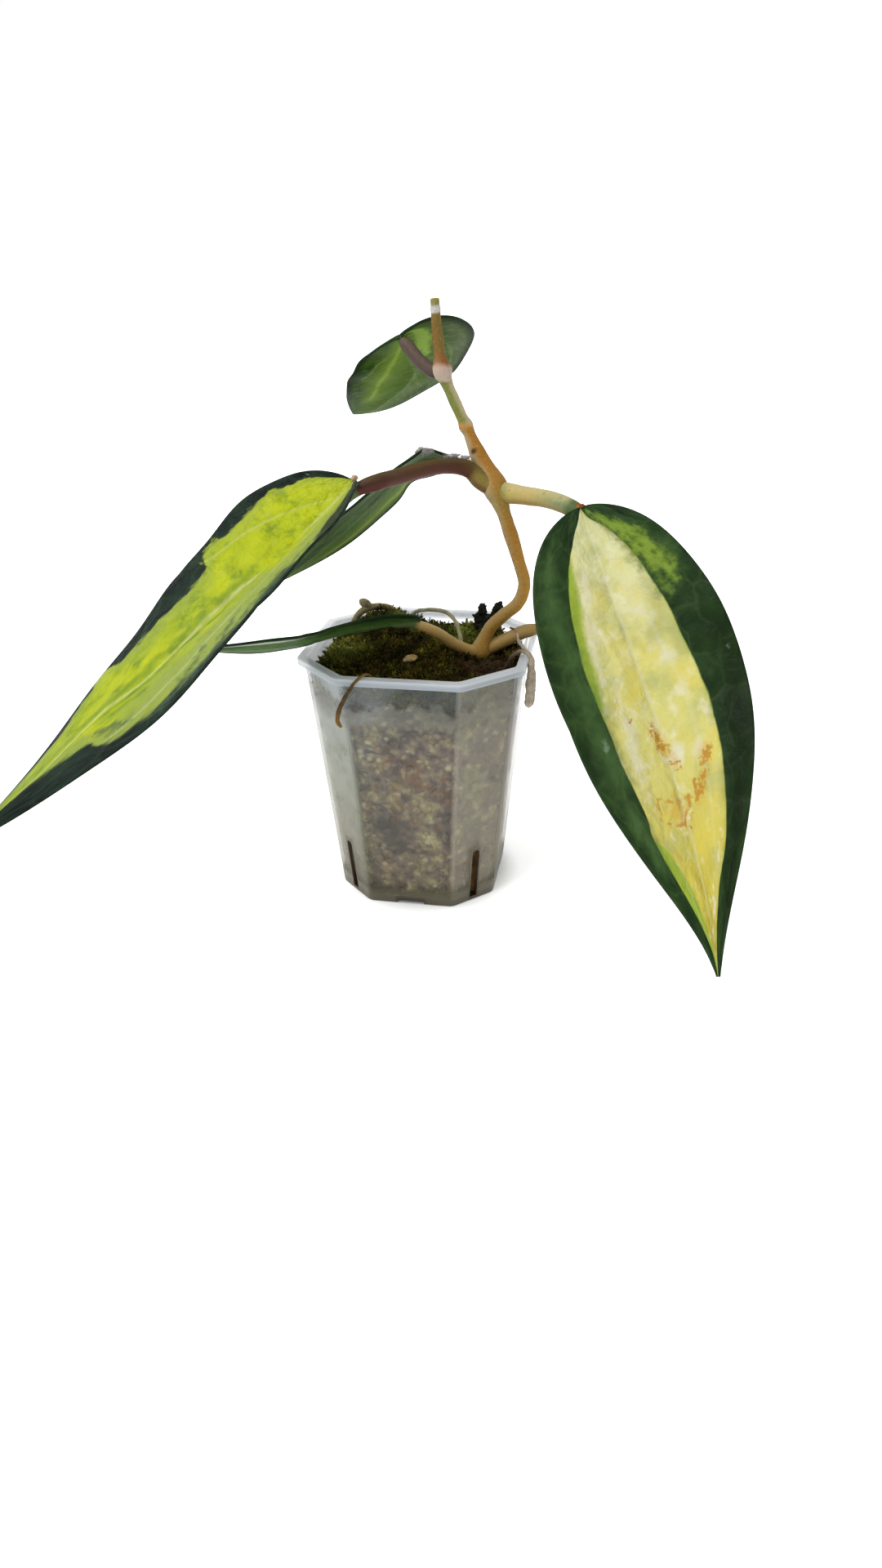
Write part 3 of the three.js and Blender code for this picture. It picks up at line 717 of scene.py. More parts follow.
def make_slot_filling(pot, material, side):
    """The wet mix that shows in one drain slot, a little behind the face of the wall."""
    half, top = SLOT["width"] / 2 + 0.5, SLOT["bottom"] + SLOT["height"]
    turn = Matrix.Rotation(-math.pi / 4 + side * math.pi / 2, 3, "Z")
    rings = []
    for level in range(FILLING_STEPS + 1):
        z = mix(MIX_BOTTOM, top, level / FILLING_STEPS)
        wall = inside_half(pot, z) * (2 - CORNER_CUT) / math.sqrt(2)
        face = wall - 0.2 - 0.5 * (0.5 + noise.noise(Vector((side * 9, z, 1)) / 1.5))
        ring = [(half, wall - 2.5), (half, wall - 0.4), (0.4 * half, face), (-0.4 * half, face),
                (-half, wall - 0.4), (-half, wall - 2.5)]
        rings.append([turn @ Vector((x, y, z)) for x, y in ring])
    mesh = loft(rings)
    mesh.materials.append(material)
    return mesh


def keep_inside(mesh, pot, clearance):
    """Moves points that stick out through the wall back to it, as chips lie flat against it."""
    for vertex in mesh.vertices:
        x, y, z = vertex.co / MM
        half = inside_half(pot, z) - clearance
        reach = max(abs(x), abs(y), (abs(x) + abs(y)) / (2 - CORNER_CUT))
        if reach > half:
            vertex.co.x *= half / reach
            vertex.co.y *= half / reach
        vertex.co.z = min(max(z, MIX_BOTTOM), MIX_TOP + 0.2) * MM


def make_moss_bed(pot, material, inset):
    """The bed that the moss stands on: rings that close in over the mound."""
    rim = outline(inside_half(pot, MOSS_EDGE) - inset, MOSS_EDGE, MOSS_SPACING)
    low = [(p.x * 0.97, p.y * 0.97, MOSS_BOTTOM) for p in rim]
    rings = [low, [(p.x, p.y, MOSS_EDGE - 2.4) for p in rim]]
    for step in range(MOSS_RINGS):
        share = 1 - step / MOSS_RINGS
        ring = []
        for p in rim:
            x, y = p.x * share, p.y * share
            rough = 0.5 * noise.noise(Vector((x, y, 3)) / 1.6) + 0.8 * noise.noise(Vector((x, y, 7)) / 4)
            drop = 1.6 * smooth_step((share - 0.9) / 0.1)
            ring.append((x, y, moss_height(x, y) - 0.5 + rough - drop))
        rings.append(ring)
    return dress(loft(rings), material)


def make_shoot():
    """One moss shoot: narrow leaves that stand up and out from a short stalk."""
    points, faces = [], []
    for i in range(8):
        angle = 2.4 * i
        low = 0.12 * i
        lean = mix(0.9, 0.25, i / 7)
        out = Vector((math.cos(angle), math.sin(angle), 0))
        across = Vector((-out.y, out.x, 0)) * 0.11
        base = Vector((0, 0, low))
        knee = base + out * 0.35 * lean + Vector((0, 0, 0.3))
        tip = base + out * 0.95 * lean + Vector((0, 0, 0.62 - 0.25 * lean))
        first = len(points)
        points += [base - across * 0.6, base + across * 0.6, knee + across, knee - across, tip]
        faces += [(first, first + 1, first + 2, first + 3), (first + 3, first + 2, first + 4)]
    mesh = bpy.data.meshes.new("shoot")
    mesh.from_pydata(points, [], faces)
    return mesh


# Leaves

def half_width(leaf, v):
    """Half the blade's width at v, the share of the way from base to tip."""
    widest = leaf["widest"]
    if v < widest:
        share = math.sqrt(max(0, 1 - ((widest - v) / widest) ** 2)) ** leaf["base"]
    else:
        share = max(0, math.cos(math.pi / 2 * (v - widest) / (1 - widest))) ** leaf["tip"]
    return BLADE_TIP + (leaf["half"] - BLADE_TIP) * share


def angle_at(angles, v):
    """An angle given in degrees at base, middle and tip, at v and in radians."""
    base, middle, tip = angles
    return math.radians(mix(base, middle, v * 2) if v < 0.5 else mix(middle, tip, v * 2 - 1))


def blade_frame(leaf, v):
    """The midrib's point at v, and the directions across the blade and out of its upper face."""
    a, b, c, d = (Vector(p) for p in leaf["spine"])
    w = 1 - v
    point = a * w ** 3 + b * 3 * v * w ** 2 + c * 3 * v ** 2 * w + d * v ** 3
    along = ((b - a) * w ** 2 + (c - b) * 2 * v * w + (d - c) * v ** 2).normalized()
    level = along.cross(Vector((0, 0, 1))).normalized()
    across = Matrix.Rotation(-angle_at(leaf["roll"], v), 3, along) @ level
    return point, across, across.cross(along)


def leaf_length(leaf):
    spots = [blade_frame(leaf, i / 40)[0] for i in range(41)]
    return sum((b - a).length for a, b in zip(spots, spots[1:]))


def stroke_distance(place, stroke):
    """How far a flat place in millimetres lies outside a stroke of places and radii."""
    least = (place - stroke[0][0]).length - stroke[0][1]
    for (a, a_radius), (b, b_radius) in zip(stroke, stroke[1:]):
        span = b - a
        t = min(max((place - a).dot(span) / span.length_squared, 0), 1)
        least = min(least, (place - a - span * t).length - mix(a_radius, b_radius, t))
    return least


def add_distance(mesh, leaf, drawn):
    """Stores, under a mark's name, how far each point lies outside the nearest of its strokes."""
    half, length = leaf["half"], leaf_length(leaf)
    strokes = [[(Vector((u * half, v * length)), radius) for u, v, radius in stroke]
               for stroke in drawn["strokes"]]
    unset = 9.0
    far = [unset] * len(mesh.vertices)
    uv = mesh.uv_layers["Blade"].data
    for loop in mesh.loops:
        x, v = uv[loop.index].uv
        if far[loop.vertex_index] == unset:
            place = Vector(((2 * x - 1) * half, v * length))
            least = min(stroke_distance(place, stroke) for stroke in strokes)
            far[loop.vertex_index] = min(least, unset - 0.1)
    mesh.attributes.new(drawn["name"], "FLOAT", "POINT").data.foreach_set("value", far)


def make_blade(leaf, settings, upper, under, rows, columns, quilt, seed):
    """The blade as a thin closed sheet with a round margin. Its UV map holds the place across and
    along the blade, and its upper and lower faces have materials of their own."""
    length = leaf_length(leaf)
    uvs, points = [], []
    thick_mid, thick_edge = settings.thickness / MM, settings.margin / MM
    for row in range(rows + 1):
        v = (1 - math.cos(math.pi * row / rows)) / 2
        point, across, out = blade_frame(leaf, v)
        half = half_width(leaf, v)
        fullness = min(1, THIN_END + half / THIN_SPAN)
        row_points = {1: [], -1: []}
        for column in range(columns + 1):
            u = 2 * column / columns - 1
            size, sign = abs(u), (u > 0) - (u < 0)
            lift = angle_at(leaf["fold"], v) + math.radians(leaf["curl"] * size / 2)
            swing = math.sin(2 * math.pi * leaf["waves"] * v + sign)
            wave = leaf["wave"] * u ** 2 * math.sin(math.pi * v) * swing
            reach = size * half
            flat = Vector((u * half, v * length, seed))
            cushion = sum(share * noise.noise(Vector((flat.x / wide, flat.y / long, seed + more)))
                          for wide, long, more, share in CUSHIONS)
            fade = (1 - size ** 6) * math.sin(math.pi * min(max(v, 0.02), 0.98)) ** 0.5
            bulge = quilt * cushion * fade
            groove = GROOVE[0] * math.exp(-(reach / GROOVE[1]) ** 2) * fade
            ridge = RIDGE[0] * (1 - v) * math.exp(-(reach / RIDGE[1]) ** 2)
            thick = mix(thick_mid, thick_edge, u ** 2) * fullness
            middle = point + across * sign * reach * math.cos(lift)
            middle = middle + out * (reach * math.sin(lift) + wave + bulge)
            row_points[1].append(middle + out * (thick / 2 - groove))
            row_points[-1].append(middle - out * (thick / 2 + ridge))
        edges = []
        for end, side in ((0, -1), (-1, 1)):
            middle = (row_points[1][end] + row_points[-1][end]) / 2
            edges.append(middle + across * side * min(0.3, half * 0.3))
        ring = row_points[1] + [edges[1]] + row_points[-1][::-1] + [edges[0]]
        places = [column / columns for column in range(columns + 1)]
        uvs += [(x, v) for x in places] + [(1, v)] + [(x, v) for x in places[::-1]] + [(0, v)]
        points.append(ring)
    mesh = loft(points)
    count = len(points[0])
    layer = mesh.uv_layers.new(name="Blade")
    layer.data.foreach_set("uv", [x for loop in mesh.loops for x in uvs[loop.vertex_index]])
    dress(mesh, upper, under)
    for face in mesh.polygons:
        columns_in = [index % count for index in face.vertices]
        face.material_index = int(min(columns_in) > columns and max(columns_in) < 2 * columns + 3
                                  or min(columns_in) > columns + 1)
    return mesh


def petiole_route(leaf):
    """The petiole, and its run on under the blade as the first part of the midrib."""
    route = list(leaf["petiole"])
    last = route[-1][3]
    for v, share in RUN_ON:
        point, _, out = blade_frame(leaf, v)
        spot = point - out * last * share
        route.append((*spot, last * share))
    return bar_route(route, whole=len(leaf["petiole"]) - 1)


# Materials

def start_material(name):
    material = bpy.data.materials.new(name)
    material.use_nodes = True
    material.node_tree.nodes.clear()
    return material, material.node_tree


def mm_place(tree, stretch=(1, 1, 1)):
    """Object coordinates in millimetres, divided by a stretch along each axis."""
    place = add(tree, "TexCoord").node.outputs["Object"]
    return add(tree, "VectorMath", [place, tuple(1 / (MM * s) for s in stretch)], "MULTIPLY")


def finish_material(tree, colour, share=TRUE_SHARE, height=None, bump=0.5, depth=0.3, **inputs):
    """The surface shader and the output. The colour is dimmed to a share of itself. A height makes a
    bump of a strength and a depth in millimetres. Other inputs are named as the shader's sockets."""
    named = {name.replace("_", " "): value for name, value in inputs.items()}
    if height is not None:
        named["Normal"] = add(tree, "Bump", {"Strength": bump, "Distance": depth * MM, "Height": height})
    if isinstance(colour, bpy.types.NodeSocket):
        colour = add(tree, "VectorMath", {"Vector": colour, "Scale": share}, "SCALE")
    shader = add(tree, "BsdfPrincipled", {"Base Color": colour, **named})
    add(tree, "OutputMaterial", {"Surface": shader})


def milky_polypropylene(pot):
    """Injection-moulded natural polypropylene: a milky, half clear wall with a satin skin, faint flow
    lines and small scuffs. It is clearest on the flat sides and cloudier on the cut corners, where less
    of the mix touches it. The front left cut corner is painted paler, bluer and more opaque as it looks
    in the light from the left, and the top of the lip is painted nearly white as a highlight."""
    material, tree = start_material("Milky polypropylene")
    place = mm_place(tree)
    split = add(tree, "SeparateXYZ", [place]).node.outputs
    x_size, y_size = (add(tree, "Math", [split[axis]], "ABSOLUTE") for axis in "XY")
    flat_reach = add(tree, "Math", [x_size, y_size], "MAXIMUM")
    both = add(tree, "Math", [x_size, y_size], "ADD")
    cut_reach = add(tree, "Math", [both, 2 - CORNER_CUT], "DIVIDE")
    past = add(tree, "Math", [cut_reach, flat_reach], "SUBTRACT")
    corner = add(tree, "MapRange", [past, -0.1, 0.15])
    # Painted light: the front left cut corner is paler, bluer and more opaque, as it looks in the light from
    # the left.
    skew = add(tree, "Math", [split["X"], split["Y"]], "ADD")
    painted_light_corner = add(tree, "MapRange", [skew, -30, -37])
    cloud = add(tree, "TexNoise", [place, 1 / 9, 4, 0.6])
    # The top of the wall stands clear of the mix and looks a little cloudier.
    empty = add(tree, "MapRange", [split["Z"], 56, 66, 0, 0.05])
    patchy = add(tree, "MapRange", [cloud, 0.35, 0.65, 0.07, 0.17])
    # The sides to the left and right are dustier than the front and the back.
    aside = add(tree, "Math", [x_size, y_size], "SUBTRACT")
    turned = add(tree, "Math", [aside, flat_reach], "DIVIDE")
    dusty = add(tree, "MapRange", [turned, 0.42, 0.5, 0, 0.45])
    hazy = add(tree, "Math", [patchy, dusty], "ADD")
    flat_alpha = add(tree, "Math", [hazy, empty], "ADD")
    milky = add(tree, "MapRange", [cloud, 0.3, 0.7, 0.16, 0.36])
    painted_light_corner_alpha = add(tree, "MapRange", [cloud, 0.35, 0.75, 0.6, 0.42])
    corner_alpha = add(tree, "Mix", [painted_light_corner, milky, painted_light_corner_alpha], data_type="FLOAT")
    wall_alpha = add(tree, "Mix", [corner, flat_alpha, corner_alpha], data_type="FLOAT")
    # The moulded edges between the sides are thicker, and dirt clings round the drain slots.
    from_edge = add(tree, "Math", [past], "ABSOLUTE")
    edge = add(tree, "MapRange", [from_edge, 0, 1.1, 0.4, 0], interpolation_type="SMOOTHSTEP")
    from_slot = add(tree, "Math", [aside], "ABSOLUTE")
    smear_edge = add(tree, "MapRange", [cloud, 0.35, 0.65, 2.1, 2.9])
    beyond = add(tree, "Math", [from_slot, smear_edge], "SUBTRACT")
    beside = add(tree, "MapRange", [beyond, -0.4, 0.4, 0.92, 0])
    slot_top = SLOT["bottom"] + SLOT["height"]
    below = add(tree, "MapRange", [split["Z"], slot_top + 0.6, slot_top + 1.6, 1, 0])
    smear = add(tree, "Math", [beside, below], "MULTIPLY")
    # Crumbs cling to the foot, where the floor begins.
    foot = add(tree, "MapRange", [split["Z"], 2.2, 5.5, 0.8, 0])
    edged = add(tree, "Math", [wall_alpha, edge], "MAXIMUM")
    smeared = add(tree, "Math", [edged, smear], "MAXIMUM")
    footed = add(tree, "Math", [smeared, foot], "ADD")
    top, rim = pot.height / MM, (pot.height - pot.lip_height) / MM
    lip = add(tree, "MapRange", [split["Z"], rim - 0.2, rim])
    level = add(tree, "MapRange", [split["Z"], 0, 75])
    warm = add(tree, "ValToRGB", [level], stops=[
        (0, "#8f8468"), (0.3, "#a39b84"), (0.7, "#a39a8e"), (0.84, "#8a8e82"), (0.94, "#858d8c")])
    # Painted light: the tones of the front left cut corner, pale and bluish towards the top.
    painted_light_corner_tone = add(tree, "ValToRGB", [level], stops=[
        (0, "#6f6a50"), (0.2, "#8c8a72"), (0.45, "#a0a290"), (0.75, "#b0b5aa"), (0.92, "#b8c0c2")])
    frosted = add(tree, "Math", [corner, 0.5], "MULTIPLY")
    frosty = add(tree, "Mix", [frosted, warm, "#c9c4ae"])
    cool = add(tree, "Mix", [painted_light_corner, frosty, painted_light_corner_tone])
    # Olive and pinkish smudges, and dirt towards the foot.
    dirty = add_layers(
        tree, cool, (cloud, 0.5, 0.68, 0, 0.6, "#8b9270"), (cloud, 0.42, 0.3, 0, 0.5, "#a8978c"),
        (split["Z"], 2, 8, 1, 0, "#4f4830"))
    # A ragged rim of fines sticks to the wall above the level of the mix.
    level_edge = add(tree, "MapRange", [cloud, 0.35, 0.65, 64, 70.5])
    under_edge = add(tree, "Math", [level_edge, split["Z"]], "SUBTRACT")
    below_edge = add(tree, "MapRange", [under_edge, -1, 1.5])
    above_mix = add(tree, "MapRange", [split["Z"], 58, 63, 0, 0.55])
    fines = add(tree, "Math", [below_edge, above_mix], "MULTIPLY")
    speck = add(tree, "TexNoise", [place, 0.42, 3])
    fines_tone = add(tree, "ValToRGB", [speck], stops=[
        (0.3, "#4a4442"), (0.45, "#625850"), (0.55, "#6f6858"), (0.68, "#aaa27e")])
    dusted = add(tree, "Mix", [fines, dirty, fines_tone])
    # The mouth of each drain channel lies in shadow.
    half_channel = CHANNEL["width"] / 2
    middle = add(tree, "Math", [x_size, y_size], "MINIMUM")
    between = add(tree, "MapRange", [middle, half_channel, half_channel + 1, 1, 0])
    lowest = add(tree, "MapRange", [split["Z"], 1.6, 2.8, 0.95, 0])
    mouth = add(tree, "Math", [between, lowest], "MULTIPLY")
    shadowed = add(tree, "Mix", [mouth, dusted, "#2a2416"])
    wall = add(tree, "Mix", [smear, shadowed, "#3a2912"])
    covered = add(tree, "Math", [footed, fines], "MAXIMUM")
    alpha = add(tree, "Mix", [lip, covered, 0.6], data_type="FLOAT")
    face = add(tree, "Mix", [lip, wall, pot.plastic])
    # A painted highlight: the top of the lip is nearly white.
    painted_lip_highlight = add(tree, "MapRange", [split["Z"], top - 0.9, top - 0.3])
    colour = add(tree, "Mix", [painted_lip_highlight, face, "#e4e9ee"])
    scuff = add(tree, "TexNoise", [mm_place(tree, (0.5, 0.5, 6)), 1, 2])
    rough = add(tree, "MapRange", [scuff, 0.35, 0.7, 0.32, 0.5])
    ripple = add(tree, "TexNoise", [place, 1 / 6, 0])
    finish_material(tree, colour, PLASTIC_SHARE, ripple, bump=0.1, depth=0.15, Roughness=rough,
                    Alpha=alpha, IOR=1.5)
    return material


def damp_mix():
    """Damp potting mix of composted bark, coir and perlite: matt grains mottled from taupe to cream, with
    rust and pale grit among them, dark grey patches as painted shade in the hollows between them, and
    almost black where they show wet in the slots."""
    material, tree = start_material("Damp bark and coir mix")
    place = mm_place(tree)
    shade = add(tree, "Attribute", attribute_name="shade").node.outputs["Fac"]
    grain = add(tree, "TexNoise", [place, 0.3, 4, 0.62])
    patch = add(tree, "TexNoise", [place, 1 / 9, 3])
    lean = add(tree, "MapRange", [patch, 0.3, 0.7, -0.26, 0.22])
    mottle = add(tree, "MapRange", [grain, 0.3, 0.7])
    own = add(tree, "MapRange", [shade, 0, 1, -0.14, 0.14])
    sorted_shade = add(tree, "Math", [mottle, lean], "ADD")
    with_own = add(tree, "Math", [sorted_shade, own], "ADD")
    chip = add(tree, "ValToRGB", [with_own], stops=[
        (0, "#4a4442"), (0.22, "#5f5856"), (0.42, "#7a6e66"), (0.56, "#887b68"), (0.7, "#998f6c"),
        (0.86, "#aca37c"), (1, "#c0b88e")])
    ochre = add(tree, "TexNoise", {"Vector": place, "Scale": 0.2, "Detail": 4, "Distortion": 0.4})
    gritty = add(tree, "TexVoronoi", {"Vector": place, "Scale": 0.4, "Randomness": 1}).node
    own_tone = add(tree, "SeparateColor", [gritty.outputs["Color"]]).node.outputs
    chosen = add(tree, "MapRange", [own_tone["Red"], 0.74, 0.86, 0, 0.65])
    roundish = add(tree, "MapRange", [gritty.outputs["Distance"], 0.15, 0.5, 1, 0])
    fleck = add(tree, "Math", [chosen, roundish], "MULTIPLY")
    flecked = add(tree, "Mix", [fleck, chip, "#dcd5ae"])
    heart = add(tree, "VectorMath", [place, RUST_HEART], "DISTANCE")
    warmer = add(tree, "MapRange", [heart, 4, 18, 0.12, 0])
    sought = add(tree, "Math", [ochre, warmer], "ADD")
    split = add(tree, "SeparateXYZ", [place]).node.outputs
    border = add(tree, "MapRange", [ochre, 0.35, 0.65, 61, 70])
    over = add(tree, "Math", [split["Z"], border], "SUBTRACT")
    # Painted shade of hollows in dark grey, rust, and the dark soil at the top with its uneven border.
    topped = add_layers(tree, flecked, (patch, 0.46, 0.38, 0, 0.5, "#4f5054"),
                        (sought, 0.56, 0.74, 0, 0.5, "#94683f"), (over, -1.5, 2, 0, 0.85, "#4c4e40"))
    x_size, y_size = (add(tree, "Math", [split[axis]], "ABSOLUTE") for axis in "XY")
    aside = add(tree, "Math", [x_size, y_size], "SUBTRACT")
    from_slot = add(tree, "Math", [aside], "ABSOLUTE")
    beside = add(tree, "MapRange", [from_slot, 2.7, 3.3])
    top = SLOT["bottom"] + SLOT["height"]
    above = add(tree, "MapRange", [split["Z"], top - 0.3, top + 0.6])
    clear = add(tree, "Math", [beside, above], "MAXIMUM")
    wet = add(tree, "Mix", [mottle, "#241706", "#6b4a1e"])
    colour = add(tree, "Mix", [clear, wet, topped])
    finish_material(tree, colour, MIX_SHARE, grain, bump=0.3, Roughness=0.85, Specular_IOR_Level=0.15)
    return material


def damp_moss():
    """Damp sheet moss, dark brown where it is deep and olive at the tips, with withered patches, fresh
    tufts and bare soil round the stem's foot."""
    material, tree = start_material("Damp moss")
    place = mm_place(tree)
    shade = add(tree, "Attribute", attribute_name="shade").node.outputs["Fac"]
    patch = add(tree, "TexNoise", [place, 1 / 6, 4, 0.6])
    wide = add(tree, "MapRange", [patch, 0.32, 0.68])
    lift = add(tree, "MapRange", [shade, 0, 1, 0.35, 1.1])
    both = add(tree, "Math", [wide, lift], "MULTIPLY")
    colour = add(tree, "ValToRGB", [both], stops=[
        (0, "#1a1607"), (0.2, "#2f290c"), (0.4, "#484414"), (0.6, "#625c1a"), (0.8, "#7c7828"),
        (1, "#a39c40")])
    wither = add(tree, "TexNoise", [place, 0.28, 3])
    dead = add(tree, "Mix", [wide, "#2a1a08", "#7d5a24"])
    colour = add_layers(tree, colour, (wither, 0.54, 0.66, 0, 0.7, dead))
    # Fresh yellow-green tufts at the left and behind the stem.
    tone = add(tree, "Mix", [wide, "#5f6a18", "#c6d062"])
    for spot, reach, most in FRESH_TUFTS:
        near = add(tree, "VectorMath", [place, spot], "DISTANCE")
        fresh = add(tree, "MapRange", [near, 0.3 * reach, reach, most, 0])
        share = add(tree, "Math", [fresh, lift], "MULTIPLY")
        colour = add(tree, "Mix", [share, colour, tone])
    foot = add(tree, "VectorMath", [place, STEM_FOOT_SPOT], "DISTANCE")
    grit = add(tree, "Mix", [wide, "#0e0905", "#3f2b16"])
    soil = add_layers(tree, colour, (foot, 8, 13, 0.95, 0, grit))
    finish_material(tree, soil, MOSS_SHARE, Roughness=0.9, Specular_IOR_Level=0.1)
    return material


def young_bark():
    """The waxy, corky skin of a young hoya stem: golden tan with fine pale flecks and a painted highlight
    down one side, greener above the bud ring, pinkish white and lumpy at the top joint."""
    material, tree = start_material("Young hoya bark")
    place = mm_place(tree)
    height = add(tree, "SeparateXYZ", [place]).node.outputs["Z"]
    share = add(tree, "MapRange", [height, 66, 167])
    drift = add(tree, "TexNoise", [place, 0.22, 3])
    moved = add(tree, "MapRange", [drift, 0.3, 0.7, -0.005, 0.005])
    along = add(tree, "Math", [share, moved], "ADD")
    base = add(tree, "ValToRGB", [along], stops=[
        (0, "#c99a46"), (0.1, "#d09e42"), (0.25, "#ca9638"), (0.42, "#b8842c"), (0.5, "#b0903e"),
        (0.54, "#b58630"), (0.6, "#b07a24"), (0.67, "#b67f2a"), (0.682, "#d9a050"), (0.695, "#868a40"),
        (0.74, "#808c3e"), (0.785, "#7d843c"), (0.795, "#cfbcaa"), (0.825, "#d2b8a8"), (0.84, "#95561a"),
        (0.87, "#806004"), (0.93, "#7a5c04"), (0.958, "#82660e"), (0.964, "#dcdcd4"), (0.974, "#dcdcd4"),
        (0.98, "#8f9468"), (0.99, "#8c8430"), (1, "#c2a440")])
    fleck = add(tree, "TexNoise", [place, 1.6, 4, 0.7])
    # Which side takes the painted highlight: above a half it is the right, below a half the left.
    side = add(tree, "ValToRGB", [along], stops=[
        (0, 0.35), (0.45, 0.3), (0.52, 0.1), (0.67, 0.12), (0.69, 0.95), (0.78, 0.95), (0.8, 0.3),
        (0.86, 0.5), (1, 0.5)])
    which = add(tree, "MapRange", [side, 0, 1, -1, 1])
    normal = add(tree, "NewGeometry").node.outputs["Normal"]
    turned = add(tree, "SeparateXYZ", [normal]).node.outputs["X"]
    painted_lit_side = add(tree, "Math", [turned, which], "MULTIPLY")
    scar = add(tree, "VectorMath", [place, SCAR_SPOT], "DISTANCE")
    # A painted highlight down one side, pale and deep flecks, and the dark scar.
    marked = add_layers(tree, base, (painted_lit_side, -0.05, 0.6, 0, 0.85, "#d5c59c"),
                        (fleck, 0.56, 0.7, 0, 0.4, "#dccda2"), (fleck, 0.44, 0.3, 0, 0.6, "#7c5524"),
                        (scar, 0.7, 1.2, 0.9, 0, "#3d2412"))
    finish_material(tree, marked, height=fleck, depth=0.25, Roughness=0.62, Specular_IOR_Level=0.15)
    return material


def petiole_skin(name, stops, top, under, turn):
    """The waxy skin of a leaf stalk: colours along it, and others along its upper and lower sides, a painted
    highlight on top, partly the stalk's own tint, and below a painted shade, but on the maroon stalk its
    own purple-red; and from a turn on the green of the leaf's underside, where it runs on as the midrib."""
    material, tree = start_material(name)
    place = mm_place(tree)
    share = add(tree, "Attribute", attribute_name="share").node.outputs["Fac"]
    base = add(tree, "ValToRGB", [share], stops=stops)
    normal = add(tree, "NewGeometry").node.outputs["Normal"]
    rise = add(tree, "SeparateXYZ", [normal]).node.outputs["Z"]
    grain = add(tree, "TexNoise", [place, 0.8, 4, 0.65])
    jitter = add(tree, "MapRange", [grain, 0.3, 0.7, -0.25, 0.25])
    # Painted light: the upper side takes the highlight colour and the lower side the colour below it.
    painted_light_side = add(tree, "Math", [rise, jitter], "ADD")
    run_on = add_layers(tree, base, (painted_light_side, 0.3, 0.9, 0, 0.6, top), (painted_light_side, 0.1, -0.6, 0, 0.6, under),
                        (grain, 0.4, 0.28, 0, 0.5, "#6b4a2a"),
                        (share, turn - 0.04, turn + 0.04, 0, 1, "#5c7440"))
    finish_material(tree, run_on, height=grain, bump=0.35, depth=0.2, Roughness=0.55,
                    Specular_IOR_Level=0.15)
    return material


def blade_places(tree, leaf):
    """Sockets for the place across the blade as the UV map has it and from -1 to 1, the place along it
    from 0 to 1, and both as flat millimetres."""
    uv = add(tree, "UVMap", uv_map="Blade")
    split = add(tree, "SeparateXYZ", [uv]).node.outputs
    across = add(tree, "MapRange", [split["X"], 0, 1, -1, 1])
    centred = add(tree, "VectorMath", [uv, (0.5, 0, 0)], "SUBTRACT")
    flat = add(tree, "VectorMath", [centred, (2 * leaf["half"], leaf_length(leaf), 0)], "MULTIPLY")
    return split["X"], across, split["Y"], flat


def add_layers(tree, colour, *layers):
    """Lays colours over a colour. Each has the value that it follows, the two numbers between which it
    changes, its share at the first and at the second, and the colour."""
    for value, start, end, at_start, at_end, code in layers:
        share = add(tree, "MapRange", [value, start, end, at_start, at_end])
        colour = add(tree, "Mix", [share, colour, code])
    return colour


def add_marks(tree, colour, flat, marks):
    """Lays marks over a colour. Each is a set of strokes whose distance the mesh carries, with a soft
    or ragged edge, and sometimes a halo of another colour round it."""
    for each in marks:
        far = add(tree, "Attribute", attribute_name=each["name"]).node.outputs["Fac"]
        grain = add(tree, "TexNoise", [flat, 1 / each["grain"], 3, 0.6])
        ragged = each["ragged"]
        jitter = add(tree, "MapRange", [grain, 0.3, 0.7, -ragged, ragged])
        edge = add(tree, "Math", [far, jitter], "ADD")
        if each["halo"]:
            code, reach, most = each["halo"]
            colour = add_layers(tree, colour, (edge, 0, reach, most, 0, code))
        soft = each["soft"]
        share = add(tree, "MapRange", [edge, soft, -soft, 0, each["most"]],
                    interpolation_type="SMOOTHSTEP")
        colour = add(tree, "Mix", [share, colour, each["colour"]])
    return colour


def add_nerves(tree, colour, x, along, leaf, nerves):
    """Lays lines along the blade over a colour, each a curve of places with a width in millimetres."""
    for points, width, strength, code in nerves:
        line = [(v, (u + 1) / 2) for v, u in points]
        at = add(tree, "FloatCurve", [1, along], points=line)
        gap = add(tree, "Math", [at, x], "SUBTRACT")
        off = add(tree, "Math", [gap], "ABSOLUTE")
        colour = add_layers(tree, colour, (off, 0, width / (2 * leaf["half"]), strength, 0, code))
    return colour


